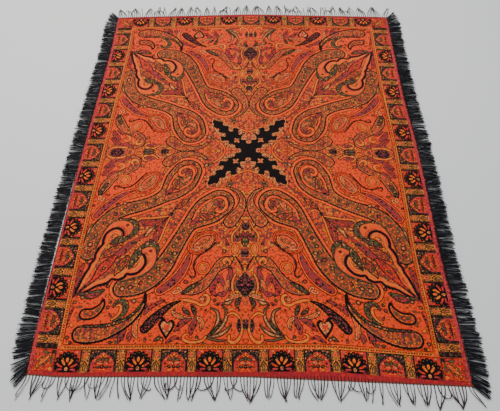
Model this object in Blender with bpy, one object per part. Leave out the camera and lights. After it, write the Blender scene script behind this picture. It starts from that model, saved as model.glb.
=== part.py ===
"""A woven wool paisley shawl laid flat: the cloth and the fringe along each of its edges.

X runs across the shawl, +Y towards its far end and +Z up. The origin is on the underside,
in the middle of the cloth, where it rests.
"""
import math
import random
from collections import namedtuple

import bmesh
import bpy
from mathutils import Vector

# Driving dimensions, in metres
HALF_WIDTH = 0.660
HALF_LENGTH = 0.850
WALL = 0.002
SEAM_GAP = 0.0003
CELLS_ACROSS = 26
CELLS_ALONG = 34
RIM_FADE = 0.070

STRIP_WIDTH = 0.006
STRIP_HEIGHT = 0.002
STRAND_CLEARANCE = 0.0005
CORNER_INSET = 0.004
SEED = 11

# How far an edge lies outside the straight rectangle, at places along it
EdgeRow = namedtuple("EdgeRow", "along out")
LEFT_EDGE = (
    EdgeRow(along=-0.850, out=0.001),
    EdgeRow(along=-0.700, out=0.006),
    EdgeRow(along=-0.450, out=0.011),
    EdgeRow(along=-0.200, out=0.009),
    EdgeRow(along=0.000, out=0.005),
    EdgeRow(along=0.300, out=-0.001),
    EdgeRow(along=0.600, out=-0.006),
    EdgeRow(along=0.850, out=0.000),
)
RIGHT_EDGE = (
    EdgeRow(along=-0.850, out=0.001),
    EdgeRow(along=-0.650, out=0.000),
    EdgeRow(along=-0.450, out=-0.007),
    EdgeRow(along=-0.200, out=-0.003),
    EdgeRow(along=0.050, out=0.000),
    EdgeRow(along=0.300, out=-0.008),
    EdgeRow(along=0.600, out=-0.006),
    EdgeRow(along=0.850, out=0.000),
)
NEAR_EDGE = (
    EdgeRow(along=-0.660, out=0.000),
    EdgeRow(along=-0.540, out=0.005),
    EdgeRow(along=-0.400, out=0.000),
    EdgeRow(along=-0.250, out=-0.005),
    EdgeRow(along=0.000, out=-0.010),
    EdgeRow(along=0.250, out=-0.017),
    EdgeRow(along=0.400, out=-0.009),
    EdgeRow(along=0.550, out=-0.001),
    EdgeRow(along=0.660, out=0.001),
)
FAR_EDGE = (
    EdgeRow(along=-0.660, out=0.002),
    EdgeRow(along=-0.540, out=0.008),
    EdgeRow(along=-0.320, out=0.016),
    EdgeRow(along=-0.100, out=0.022),
    EdgeRow(along=0.050, out=0.027),
    EdgeRow(along=0.200, out=0.022),
    EdgeRow(along=0.400, out=0.012),
    EdgeRow(along=0.600, out=0.004),
    EdgeRow(along=0.660, out=0.000),
)

# Low soft waves of the cloth: the middle, the turn of its crest from +X in degrees,
# half its length and half its width, and its height
Fold = namedtuple("Fold", "x y turn half_length half_width height")
FOLDS = (
    Fold(x=-0.400, y=0.480, turn=68.0, half_length=0.300, half_width=0.095, height=0.0045),
    Fold(x=0.385, y=0.560, turn=-62.0, half_length=0.260, half_width=0.090, height=0.0040),
    Fold(x=-0.455, y=-0.240, turn=84.0, half_length=0.330, half_width=0.100, height=0.0050),
    Fold(x=0.470, y=-0.120, turn=97.0, half_length=0.300, half_width=0.095, height=0.0050),
    Fold(x=-0.130, y=-0.610, turn=12.0, half_length=0.290, half_width=0.105, height=0.0055),
    Fold(x=0.330, y=-0.520, turn=-22.0, half_length=0.250, half_width=0.100, height=0.0060),
    Fold(x=0.060, y=0.640, turn=4.0, half_length=0.300, half_width=0.090, height=0.0040),
    Fold(x=0.545, y=-0.640, turn=-48.0, half_length=0.170, half_width=0.070, height=0.0035),
)

# A strand from its root to its tip: how far out it has come, and its width and thickness
StrandRow = namedtuple("StrandRow", "reach width thickness arch")
LOCK_ROWS = (
    StrandRow(reach=0.35, width=0.96, thickness=1.00, arch=0.80),
    StrandRow(reach=0.72, width=0.84, thickness=0.85, arch=1.00),
    StrandRow(reach=1.00, width=0.50, thickness=0.40, arch=0.00),
)
WARP_ROWS = (
    StrandRow(reach=0.25, width=0.90, thickness=1.00, arch=0.60),
    StrandRow(reach=0.50, width=0.80, thickness=1.00, arch=1.00),
    StrandRow(reach=0.75, width=0.85, thickness=0.90, arch=0.70),
    StrandRow(reach=1.00, width=0.60, thickness=0.50, arch=0.00),
)

# A fringe: the way it points, its strands with their size at the root, the sway of their
# tips along the edge, and how far and over what share of the edge they fan at its corners
Fringe = namedtuple(
    "Fringe",
    "name way count root_width length thickness arch sway corner_fan fan_share rows",
)
FRINGES = (
    Fringe(
        name="fringe_left", way=(-1, 0), count=60, root_width=0.0185, length=0.0520,
        thickness=0.0042, arch=0.0018, sway=0.004, corner_fan=0.050, fan_share=0.14,
        rows=LOCK_ROWS,
    ),
    Fringe(
        name="fringe_right", way=(1, 0), count=60, root_width=0.0185, length=0.0560,
        thickness=0.0042, arch=0.0018, sway=0.004, corner_fan=0.050, fan_share=0.14,
        rows=LOCK_ROWS,
    ),
    Fringe(
        name="fringe_near", way=(0, -1), count=50, root_width=0.0052, length=0.0680,
        thickness=0.0030, arch=0.0020, sway=0.006, corner_fan=0.020, fan_share=0.10,
        rows=WARP_ROWS,
    ),
    Fringe(
        name="fringe_far", way=(0, 1), count=50, root_width=0.0052, length=0.0720,
        thickness=0.0030, arch=0.0020, sway=0.006, corner_fan=0.020, fan_share=0.10,
        rows=WARP_ROWS,
    ),
)
LENGTH_SPREAD = 0.08
DRIFT_POWER = 1.5

# Base colour, roughness and metallic value
Finish = namedtuple("Finish", "color roughness metallic")
CLOTH_FINISH = Finish(color=(0.62, 0.15, 0.05), roughness=0.88, metallic=0.0)
SIDE_FRINGE_FINISH = Finish(color=(0.012, 0.012, 0.018), roughness=0.80, metallic=0.0)
END_FRINGE_FINISH = Finish(color=(0.070, 0.030, 0.025), roughness=0.85, metallic=0.0)


def clear_scene():
    """Remove whatever the open scene holds."""
    for old in list(bpy.data.objects):
        bpy.data.objects.remove(old, do_unlink=True)


def make_material(name, finish):
    """A Principled material of one finish."""
    material = bpy.data.materials.new(name)
    material.use_nodes = True
    shader = material.node_tree.nodes["Principled BSDF"]
    shader.inputs["Base Color"].default_value = (*finish.color, 1.0)
    shader.inputs["Roughness"].default_value = finish.roughness
    shader.inputs["Metallic"].default_value = finish.metallic
    return material


def edge_out(rows, along):
    """The edge's bow at a place along it, on a smooth curve through the rows."""
    last = len(rows) - 1
    along = min(max(along, rows[0].along), rows[last].along)
    k = 0
    while k < last - 1 and along > rows[k + 1].along:
        k += 1
    before = rows[max(k - 1, 0)]
    start = rows[k]
    end = rows[k + 1]
    after = rows[min(k + 2, last)]
    span = end.along - start.along
    slope_start = (end.out - before.out) / (end.along - before.along)
    slope_end = (after.out - start.out) / (after.along - start.along)
    t = (along - start.along) / span
    return (
        start.out * (2 * t**3 - 3 * t**2 + 1)
        + slope_start * span * (t**3 - 2 * t**2 + t)
        + end.out * (3 * t**2 - 2 * t**3)
        + slope_end * span * (t**3 - t**2)
    )


def cloth_point(s, t):
    """The flat place of a point of the cloth; s and t run from -1 to 1."""
    along_side = t * HALF_LENGTH
    along_end = s * HALF_WIDTH
    left = -HALF_WIDTH - edge_out(LEFT_EDGE, along_side)
    right = HALF_WIDTH + edge_out(RIGHT_EDGE, along_side)
    near = -HALF_LENGTH - edge_out(NEAR_EDGE, along_end)
    far = HALF_LENGTH + edge_out(FAR_EDGE, along_end)
    x = left + (right - left) * (s + 1) / 2
    y = near + (far - near) * (t + 1) / 2
    return x, y


def bell(q):
    """A soft hump that is 1 at 0 and ends at 1."""
    if abs(q) >= 1:
        return 0.0
    return math.cos(q * math.pi / 2) ** 2


def smooth_step(q):
    """A soft rise from 0 to 1."""
    q = min(max(q, 0.0), 1.0)
    return q * q * (3 - 2 * q)


def fold_height(x, y, s, t):
    """How far the cloth stands off the surface in its waves."""
    height = 0.0
    for fold in FOLDS:
        turn = math.radians(fold.turn)
        dx = x - fold.x
        dy = y - fold.y
        along = dx * math.cos(turn) + dy * math.sin(turn)
        across = dy * math.cos(turn) - dx * math.sin(turn)
        height += fold.height * bell(along / fold.half_length) * bell(across / fold.half_width)
    to_side = (1 - abs(s)) * HALF_WIDTH
    to_end = (1 - abs(t)) * HALF_LENGTH
    return height * smooth_step(min(to_side, to_end) / RIM_FADE)


def finish_object(name, mesh, material, collection):
    """Link the finished mesh as one named object."""
    mesh.materials.append(material)
    piece = bpy.data.objects.new(name, mesh)
    collection.objects.link(piece)
    return piece


def build_cloth(material, collection):
    """The woven panel: a grid of the cloth's own points with a wall of even thickness."""
    shape = bmesh.new()
    bmesh.ops.create_grid(shape, x_segments=CELLS_ACROSS, y_segments=CELLS_ALONG, size=1.0)
    for vert in shape.verts:
        s = vert.co.x
        t = vert.co.y
        x, y = cloth_point(s, t)
        vert.co = (x, y, fold_height(x, y, s, t))
    wall = bmesh.ops.extrude_face_region(shape, geom=list(shape.faces))
    for vert in wall["geom"]:
        if isinstance(vert, bmesh.types.BMVert):
            vert.co.z += WALL
    bmesh.ops.recalc_face_normals(shape, faces=shape.faces)
    mesh = bpy.data.meshes.new("cloth")
    shape.to_mesh(mesh)
    shape.free()
    mesh.shade_smooth()
    mesh.set_sharp_from_angle(angle=math.radians(50))
    return finish_object("cloth", mesh, material, collection)


def runs_along(fringe):
    """Half the length of the edge beside a fringe, and the cloth's cells along it."""
    if fringe.way[0] != 0:
        return HALF_LENGTH, CELLS_ALONG
    return HALF_WIDTH, CELLS_ACROSS


def edge_point(fringe, share):
    """A point of the cloth's edge beside a fringe; share runs from -1 to 1 along it."""
    way_x, way_y = fringe.way
    if way_x != 0:
        return Vector((*cloth_point(way_x, share), 0.0))
    return Vector((*cloth_point(share, way_y), 0.0))


def rim_point(fringe, share, distance, height):
    """A point straight out from the cloth's rim, which is straight between grid points."""
    cells = runs_along(fringe)[1]
    place = (share + 1) / 2 * cells
    k = min(int(place), cells - 1)
    start = edge_point(fringe, 2 * k / cells - 1)
    end = edge_point(fringe, 2 * (k + 1) / cells - 1)
    point = start.lerp(end, place - k)
    return point + Vector((*fringe.way, 0.0)) * distance + Vector((0.0, 0.0, height))


def strand_roots(fringe):
    """The two ends of each strand's root along the edge, from -1 to 1."""
    half = runs_along(fringe)[0]
    reach = 1 - CORNER_INSET / half
    pitch = 2 * reach / fringe.count
    half_root = fringe.root_width / 2 / half
    middles = [-reach + (k + 0.5) * pitch for k in range(fringe.count)]
    return [(middle - half_root, middle + half_root) for middle in middles]


def build_strip(shape, fringe):
    """The narrow backing beside the cloth's edge; returns the root face of each strand."""
    half, cells = runs_along(fringe)
    reach = 1 - CORNER_INSET / half
    inner_shares = [-reach]
    inner_shares += [2 * k / cells - 1 for k in range(1, cells)]
    inner_shares += [reach]
    outer_shares = [-reach]
    for root in strand_roots(fringe):
        outer_shares += root
    outer_shares += [reach]

    def rail(shares, distance, height):
        return [shape.verts.new(rim_point(fringe, share, distance, height)) for share in shares]

    inner_low = rail(inner_shares, SEAM_GAP, 0.0)
    inner_high = rail(inner_shares, SEAM_GAP, STRIP_HEIGHT)
    outer_low = rail(outer_shares, SEAM_GAP + STRIP_WIDTH, 0.0)
    outer_high = rail(outer_shares, SEAM_GAP + STRIP_WIDTH, STRIP_HEIGHT)

    shape.faces.new(inner_low + outer_low[::-1])
    shape.faces.new(inner_high + outer_high[::-1])
    for end in (0, -1):
        shape.faces.new((inner_low[end], inner_high[end], outer_high[end], outer_low[end]))
    for k in range(len(inner_low) - 1):
        shape.faces.new((inner_low[k], inner_low[k + 1], inner_high[k + 1], inner_high[k]))
    outer_faces = []
    for k in range(len(outer_low) - 1):
        corners = (outer_low[k], outer_low[k + 1], outer_high[k + 1], outer_high[k])
        outer_faces.append(shape.faces.new(corners))
    return outer_faces[1::2]


def tip_drift(fringe, share, rng):
    """How far a strand's tip moves along the edge: a little sway, and a fan at the corners."""
    sway = rng.uniform(-fringe.sway, fringe.sway)
    into_fan = (abs(share) - (1 - fringe.fan_share)) / fringe.fan_share
    return sway + math.copysign(fringe.corner_fan * smooth_step(into_fan), share)


def grow_strand(shape, face, fringe, share, rng):
    """Draw one strand out of its root face, section by section."""
    out = Vector((*fringe.way, 0.0))
    side = Vector((abs(out.y), abs(out.x), 0.0))
    up = Vector((0.0, 0.0, 1.0))
    root = face.calc_center_median()
    centre = root
    length = fringe.length * rng.uniform(1 - LENGTH_SPREAD, 1 + LENGTH_SPREAD)
    drift = tip_drift(fringe, share, rng)
    for row in fringe.rows:
        face = bmesh.ops.extrude_discrete_faces(shape, faces=[face])["faces"][0]
        half_width = fringe.root_width * row.width / 2
        half_height = fringe.thickness * row.thickness / 2
        place = root + out * length * row.reach + side * drift * row.reach**DRIFT_POWER
        place.z = STRAND_CLEARANCE + fringe.arch * row.arch + half_height
        for vert in face.verts:
            across = math.copysign(half_width, (vert.co - centre).dot(side))
            rise = math.copysign(half_height, vert.co.z - centre.z)
            vert.co = place + side * across + up * rise
        centre = place


def build_fringe(fringe, material, collection, rng):
    """One fringe: its backing strip with every strand drawn out of it."""
    shape = bmesh.new()
    roots = build_strip(shape, fringe)
    bmesh.ops.recalc_face_normals(shape, faces=shape.faces)
    for face, root in zip(roots, strand_roots(fringe)):
        grow_strand(shape, face, fringe, sum(root) / 2, rng)
    bmesh.ops.recalc_face_normals(shape, faces=shape.faces)
    mesh = bpy.data.meshes.new(fringe.name)
    shape.to_mesh(mesh)
    shape.free()
    return finish_object(fringe.name, mesh, material, collection)


def main():
    """Build the shawl."""
    clear_scene()
    collection = bpy.data.collections.new("paisley_shawl")
    bpy.context.scene.collection.children.link(collection)
    build_cloth(make_material("woven_wool", CLOTH_FINISH), collection)
    side_fringe = make_material("side_fringe_wool", SIDE_FRINGE_FINISH)
    end_fringe = make_material("end_fringe_wool", END_FRINGE_FINISH)
    rng = random.Random(SEED)
    for fringe in FRINGES:
        on_side = fringe.way[0] != 0
        build_fringe(fringe, side_fringe if on_side else end_fringe, collection, rng)


main()
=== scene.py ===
import math
import random
from collections import namedtuple

import bmesh
import bpy
import numpy as np
from bpy.props import FloatProperty, FloatVectorProperty, IntProperty, PointerProperty
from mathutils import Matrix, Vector
from mathutils.geometry import delaunay_2d_cdt


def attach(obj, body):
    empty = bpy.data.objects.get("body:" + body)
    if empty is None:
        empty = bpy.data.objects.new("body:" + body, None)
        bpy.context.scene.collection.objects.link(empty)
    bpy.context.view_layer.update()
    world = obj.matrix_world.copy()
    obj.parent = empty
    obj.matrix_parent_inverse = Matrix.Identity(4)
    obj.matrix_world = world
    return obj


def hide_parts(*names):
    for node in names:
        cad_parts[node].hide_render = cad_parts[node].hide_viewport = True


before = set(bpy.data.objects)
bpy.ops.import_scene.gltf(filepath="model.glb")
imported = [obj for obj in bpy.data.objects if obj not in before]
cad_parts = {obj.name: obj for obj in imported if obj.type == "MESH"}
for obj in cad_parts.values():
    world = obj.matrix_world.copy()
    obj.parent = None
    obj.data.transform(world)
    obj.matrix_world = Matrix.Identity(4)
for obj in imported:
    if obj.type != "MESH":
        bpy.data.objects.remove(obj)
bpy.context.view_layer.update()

bl_info = {
    "name": "Paisley Shawl",
    "version": (1, 0, 0),
    "blender": (4, 5, 0),
    "location": "View3D > Sidebar > Shawl",
    "description": "Weaves a fringed paisley shawl over its laid-out solids",
    "category": "Object",
}

BODY = "root"

# The shawl's outline and waves as its solids have them, in metres
HALF_WIDTH = 0.660
HALF_LENGTH = 0.850
RIM_FADE = 0.070
EDGE_BOW = {
    "left": (
        (-0.850, 0.001), (-0.700, 0.006), (-0.450, 0.011), (-0.200, 0.009),
        (0.000, 0.005), (0.300, -0.001), (0.600, -0.006), (0.850, 0.000),
    ),
    "right": (
        (-0.850, 0.001), (-0.650, 0.000), (-0.450, -0.007), (-0.200, -0.003),
        (0.050, 0.000), (0.300, -0.008), (0.600, -0.006), (0.850, 0.000),
    ),
    "near": (
        (-0.660, 0.000), (-0.540, 0.005), (-0.400, 0.000), (-0.250, -0.005), (0.000, -0.010),
        (0.250, -0.017), (0.400, -0.009), (0.550, -0.001), (0.660, 0.001),
    ),
    "far": (
        (-0.660, 0.002), (-0.540, 0.008), (-0.320, 0.016), (-0.100, 0.022), (0.050, 0.027),
        (0.200, 0.022), (0.400, 0.012), (0.600, 0.004), (0.660, 0.000),
    ),
}
Fold = namedtuple("Fold", "x y turn half_length half_width height")
FOLDS = (
    Fold(-0.400, 0.480, 68.0, 0.300, 0.095, 0.0045),
    Fold(0.385, 0.560, -62.0, 0.260, 0.090, 0.0040),
    Fold(-0.455, -0.240, 84.0, 0.330, 0.100, 0.0050),
    Fold(0.470, -0.120, 97.0, 0.300, 0.095, 0.0050),
    Fold(-0.130, -0.610, 12.0, 0.290, 0.105, 0.0055),
    Fold(0.330, -0.520, -22.0, 0.250, 0.100, 0.0060),
    Fold(0.060, 0.640, 4.0, 0.300, 0.090, 0.0040),
    Fold(0.545, -0.640, -48.0, 0.170, 0.070, 0.0035),
)

# The woven design is drawn for one quarter, in millimetres: a runs from the middle line to
# the side edge and b from the middle line to the end edge
DESIGN_WIDTH = 662.0
DESIGN_LENGTH = 859.0
CURVE_STEP = 5.0
SMALL_STEP = 3.0
SCALLOP_STEP = 2.5
SCALLOP_PITCH = 10.0
RELIEF_STEP = 22.0
THINNEST = 0.5
SMALLEST_OVAL = 0.8
FLATNESS = 0.34
MERGE = 0.02
MM = 0.001

# A kind of weaving: its yarn, the yarn that shows among it and the share of that one, and
# the two yarns and the size of the small florets strewn in it
Weave = namedtuple("Weave", "name main speck share florets size")
WEAVES = (
    Weave("field", "orange", "brown", 0.36, ("mauve", "gold"), 0.34),
    Weave("ground", "orange", "red", 0.10, ("olive", "gold"), 0.15),
    Weave("bright", "orange", "gold", 0.08, ("gold", "gold"), 0.0),
    Weave("pale", "peach", "orange", 0.25, ("peach", "peach"), 0.0),
    Weave("line", "dark", "brown", 0.06, ("dark", "dark"), 0.0),
    Weave("band", "brown", "orange", 0.24, ("olive", "gold"), 0.26),
    Weave("gold", "gold", "orange", 0.40, ("peach", "peach"), 0.0),
    Weave("olive", "olive", "brown", 0.38, ("gold", "gold"), 0.0),
    Weave("mauve", "mauve", "red", 0.30, ("dark", "rose"), 0.24),
    Weave("black", "black", "dark", 0.06, ("black", "black"), 0.0),
    Weave("red", "red", "orange", 0.26, ("gold", "mauve"), 0.20),
    Weave("crimson", "crimson", "red", 0.20, ("rose", "rose"), 0.0),
    Weave("rose", "rose", "crimson", 0.34, ("rose", "rose"), 0.0),
    Weave("tan", "peach", "brown", 0.42, ("gold", "gold"), 0.0),
    Weave("mille", "brown", "orange", 0.36, ("gold", "mauve"), 0.26),
    Weave("fill", "orange", "brown", 0.46, ("olive", "mauve"), 0.32),
    Weave("night", "black", "mauve", 0.20, ("rose", "brown"), 0.20),
    Weave("slate", "olive", "dark", 0.36, ("mauve", "peach"), 0.22),
    Weave("deep", "dark", "green", 0.42, ("peach", "olive"), 0.15),
    Weave("panel", "gold", "brown", 0.46, ("orange", "orange"), 0.0),
    Weave("heading", "brown", "crimson", 0.40, ("dark", "dark"), 0.0),
    Weave("reverse", "brown", "red", 0.45, ("dark", "olive"), 0.30),
)
WEAVE_NUMBER = {weave.name: k for k, weave in enumerate(WEAVES)}
YARNS = (
    "orange", "red", "peach", "gold", "brown", "olive", "mauve", "rose",
    "green", "crimson", "dark", "black",
)

# How a motif is layered from its rim inwards: depth, weave and, on some, the scallops' height
LAYERS = {
    "great": ((-16.4, "line"), (-14.0, "bright"), (-4.4, "line", 1.8), (1.8, "tan"), (3.4, "band")),
    "heart": ((-4.4, "line"), (0.0, "bright"), (7.0, "band")),
    "boteh": ((-3.6, "line", 0.9), (0.8, "tan"), (2.4, "mille")),
    "end_boteh": ((-1.6, "black", 1.8), (4.6, "tan"), (6.2, "mille")),
    "dark_boteh": ((-3.0, "mauve"), (-1.2, "black", 1.8), (5.0, "gold"), (6.6, "fill")),
    "long_leaf": ((-3.6, "line"), (-0.6, "bright"), (3.6, "line"), (5.4, "mauve")),
    "spiky_leaf": ((-2.4, "gold"), (0.0, "black", 1.6), (4.4, "night")),
    "hook": ((-2.4, "line"), (0.2, "slate")),
    "black_line": ((-3.2, "mauve"), (-0.4, "black", 1.6)),
    "line": ((-1.0, "line"),),
    "gold_band": ((-2.4, "olive"), (-0.6, "gold"), (5.0, "bright")),
    "core": ((-4.4, "mauve"), (-1.8, "line"), (1.8, "red"), (8.4, "mauve"), (10.0, "red")),
    "red_leaf": ((-3.0, "line"), (0.4, "mille"), (6.6, "line"), (8.4, "fill")),
    "dark_leaf": ((-2.2, "line", 0.9), (1.0, "slate")),
    "mauve_leaf": ((-2.2, "line"), (0.2, "mauve"), (6.8, "line"), (8.0, "red")),
    "gold_leaf": ((-2.2, "line"), (0.2, "tan"), (3.6, "line"), (4.8, "bright")),
    "fan_leaf": ((-2.4, "line"), (0.6, "olive"), (2.8, "tan")),
    "gold_stem": ((-2.8, "line"), (-0.2, "gold")),
    "mauve_stem": ((-2.0, "line"), (0.0, "mauve")),
    "dark_spot": ((-2.0, "olive"), (0.0, "night")),
    "curl": ((-3.2, "line"), (-0.2, "bright")),
    "big_curl": ((-1.8, "olive"), (0.0, "bright")),
    "oval": (
        (-5.6, "line"), (-2.6, "bright"), (0.0, "line"), (2.4, "red"), (7.4, "line"), (9.2, "gold"),
        (12.0, "mauve"), (16.4, "line"), (18.4, "bright"), (24.0, "mille"),
    ),
    "ring_flower": (
        (-3.0, "line"), (-0.8, "bright"), (4.0, "line"), (6.0, "gold"), (8.4, "mille"),
        (14.0, "bright"),
    ),
    "keyhole": ((-3.0, "bright"), (-0.6, "line"), (2.2, "gold"), (6.4, "mauve"), (9.0, "gold")),
    "floret": ((0.0, "line"), (3.0, "olive"), (5.4, "pale")),
    "small_floret": ((0.0, "line"), (3.4, "mauve")),
    "bud": ((-1.8, "olive"), (0.0, "tan"), (4.5, "red")),
    "loop": ((-2.4, "line"), (0.0, "pale"), (4.4, "line"), (5.8, "red")),
}

# Motifs in the order they are woven over each other. Those with a spine give the points
# (a, b, half the width there) along it; round ones their middle, half sizes and turn
Motif = namedtuple("Motif", "layers spine")
Round = namedtuple("Round", "layers a b ra rb turn")
HEADS = (
    Motif("great", (
        (232, 102, 55), (251, 145, 59), (278, 186, 45), (306, 213, 27), (342, 236, 22),
        (390, 256, 22), (440, 273, 24), (482, 297, 25), (518, 343, 26), (536, 395, 27),
        (540, 442, 28),
    )),
    Motif("great", (
        (100, 245, 54), (138, 278, 56), (172, 308, 42), (200, 338, 25), (217, 370, 22),
        (235, 410, 23), (253, 450, 25), (275, 495, 29), (310, 540, 30), (355, 568, 30),
        (404, 577, 29),
    )),
    Motif("heart", ((228, 102, 34), (246, 138, 38), (270, 168, 28), (288, 190, 12))),
    Motif("heart", ((98, 248, 34), (132, 274, 38), (160, 294, 28), (180, 314, 12))),
    Motif("mauve_leaf", ((208, 104, 3), (222, 100, 9), (238, 104, 4))),
    Motif("mauve_leaf", ((92, 240, 3), (98, 250, 9), (96, 262, 4))),
    Motif("gold_leaf", ((216, 124, 3), (232, 142, 9), (250, 150, 4))),
    Motif("gold_leaf", ((122, 240, 3), (134, 256, 9), (140, 276, 4))),
    Motif("red_leaf", ((262, 128, 3), (268, 148, 12), (266, 168, 10), (256, 182, 3))),
    Motif("red_leaf", ((114, 302, 3), (134, 306, 12), (152, 302, 10), (164, 290, 3))),
    Motif("mauve_leaf", ((272, 178, 3), (286, 190, 8), (300, 208, 3))),
    Motif("mauve_leaf", ((166, 306, 3), (180, 322, 8), (196, 336, 3))),
    Round("dark_spot", 251, 127, 7, 5, 20),
    Round("dark_spot", 110, 286, 7, 5, 50),
    Motif("curl", (
        (208, 134, 2), (203, 112, 4), (209, 90, 5), (227, 78, 5), (248, 83, 5), (260, 99, 5),
        (257, 114, 5), (247, 119, 5), (240, 111, 3),
    )),
    Motif("curl", (
        (124, 228, 2), (101, 220, 4), (82, 226, 5), (73, 243, 5), (73, 263, 5), (84, 279, 5),
        (98, 284, 5), (108, 277, 5), (103, 267, 3),
    )),
)
SMALL_BOTEHS = (
    Motif("boteh", (
        (60, 180, 2), (30, 200, 5), (15, 233, 9), (20, 268, 15), (38, 300, 20), (55, 325, 22),
    )),
    Motif("boteh", (
        (160, 42, 2), (185, 22, 5), (222, 13, 9), (262, 18, 15), (290, 36, 20), (309, 54, 21),
    )),
    Motif("boteh", (
        (452, 24, 7), (434, 42, 13), (434, 66, 15), (450, 87, 14), (474, 102, 12), (500, 114, 13),
        (520, 136, 16), (534, 161, 17), (543, 186, 12), (549, 204, 2),
    )),
    Motif("boteh", (
        (46, 472, 8), (62, 482, 18), (82, 494, 17), (98, 512, 12), (112, 535, 12), (130, 560, 15),
        (152, 577, 18), (176, 587, 16), (194, 594, 8), (204, 599, 2),
    )),
    Motif("dark_leaf", ((528, 150, 2), (539, 172, 7), (545, 190, 6), (549, 204, 1))),
    Motif("dark_leaf", ((150, 562, 2), (172, 575, 6), (190, 588, 6), (203, 599, 1))),
    Motif("gold_stem", ((424, 58, 2), (432, 44, 4), (446, 40, 5), (452, 54, 4), (444, 62, 3))),
    Motif("gold_stem", ((52, 494, 2), (50, 482, 4), (62, 472, 5), (72, 480, 4), (68, 490, 3))),
    Motif("long_leaf", (
        (402, 186, 4), (432, 194, 9), (466, 211, 14), (498, 238, 17), (524, 267, 18), (542, 294, 16),
    )),
    Motif("long_leaf", (
        (188, 449, 7), (195, 475, 13), (206, 505, 15), (222, 535, 17), (248, 563, 18), (280, 587, 16),
    )),
    Round("oval", 374, 151, 54, 34, 55),
    Round("oval", 148, 408, 54, 34, 38),
    Motif("gold_leaf", ((352, 118, 3), (356, 140, 8), (364, 158, 6), (372, 164, 2))),
    Motif("gold_leaf", ((114, 386, 3), (119, 404, 8), (131, 424, 8), (143, 430, 3))),
    Round("bud", 392, 174, 10, 9, 0),
    Round("bud", 165, 433, 10, 9, 0),
    Motif("line", (
        (384, 104, 1.4), (401, 125, 2.0), (414, 145, 2.2), (429, 164, 2.2), (448, 173, 2.2),
        (468, 173, 2.2), (484, 166, 2.0), (495, 163, 2.0), (499, 172, 1.8), (492, 180, 1.4),
    )),
    Motif("line", (
        (101, 408, 1.4), (120, 433, 2.0), (138, 446, 2.2), (156, 459, 2.2), (168, 475, 2.2),
        (173, 493, 2.2), (171, 510, 2.2), (165, 526, 2.0), (169, 540, 2.0), (179, 541, 1.8),
        (183, 533, 1.4),
    )),
    Round("ring_flower", 467, 138, 25, 25, 0),
    Round("ring_flower", 140, 507, 22, 22, 0),
    Round("loop", 534, 222, 11, 7, 50),
    Round("loop", 545, 216, 12, 7, 100),
    Round("loop", 216, 584, 11, 7, 130),
    Round("loop", 226, 593, 13, 7, 10),
)
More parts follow.
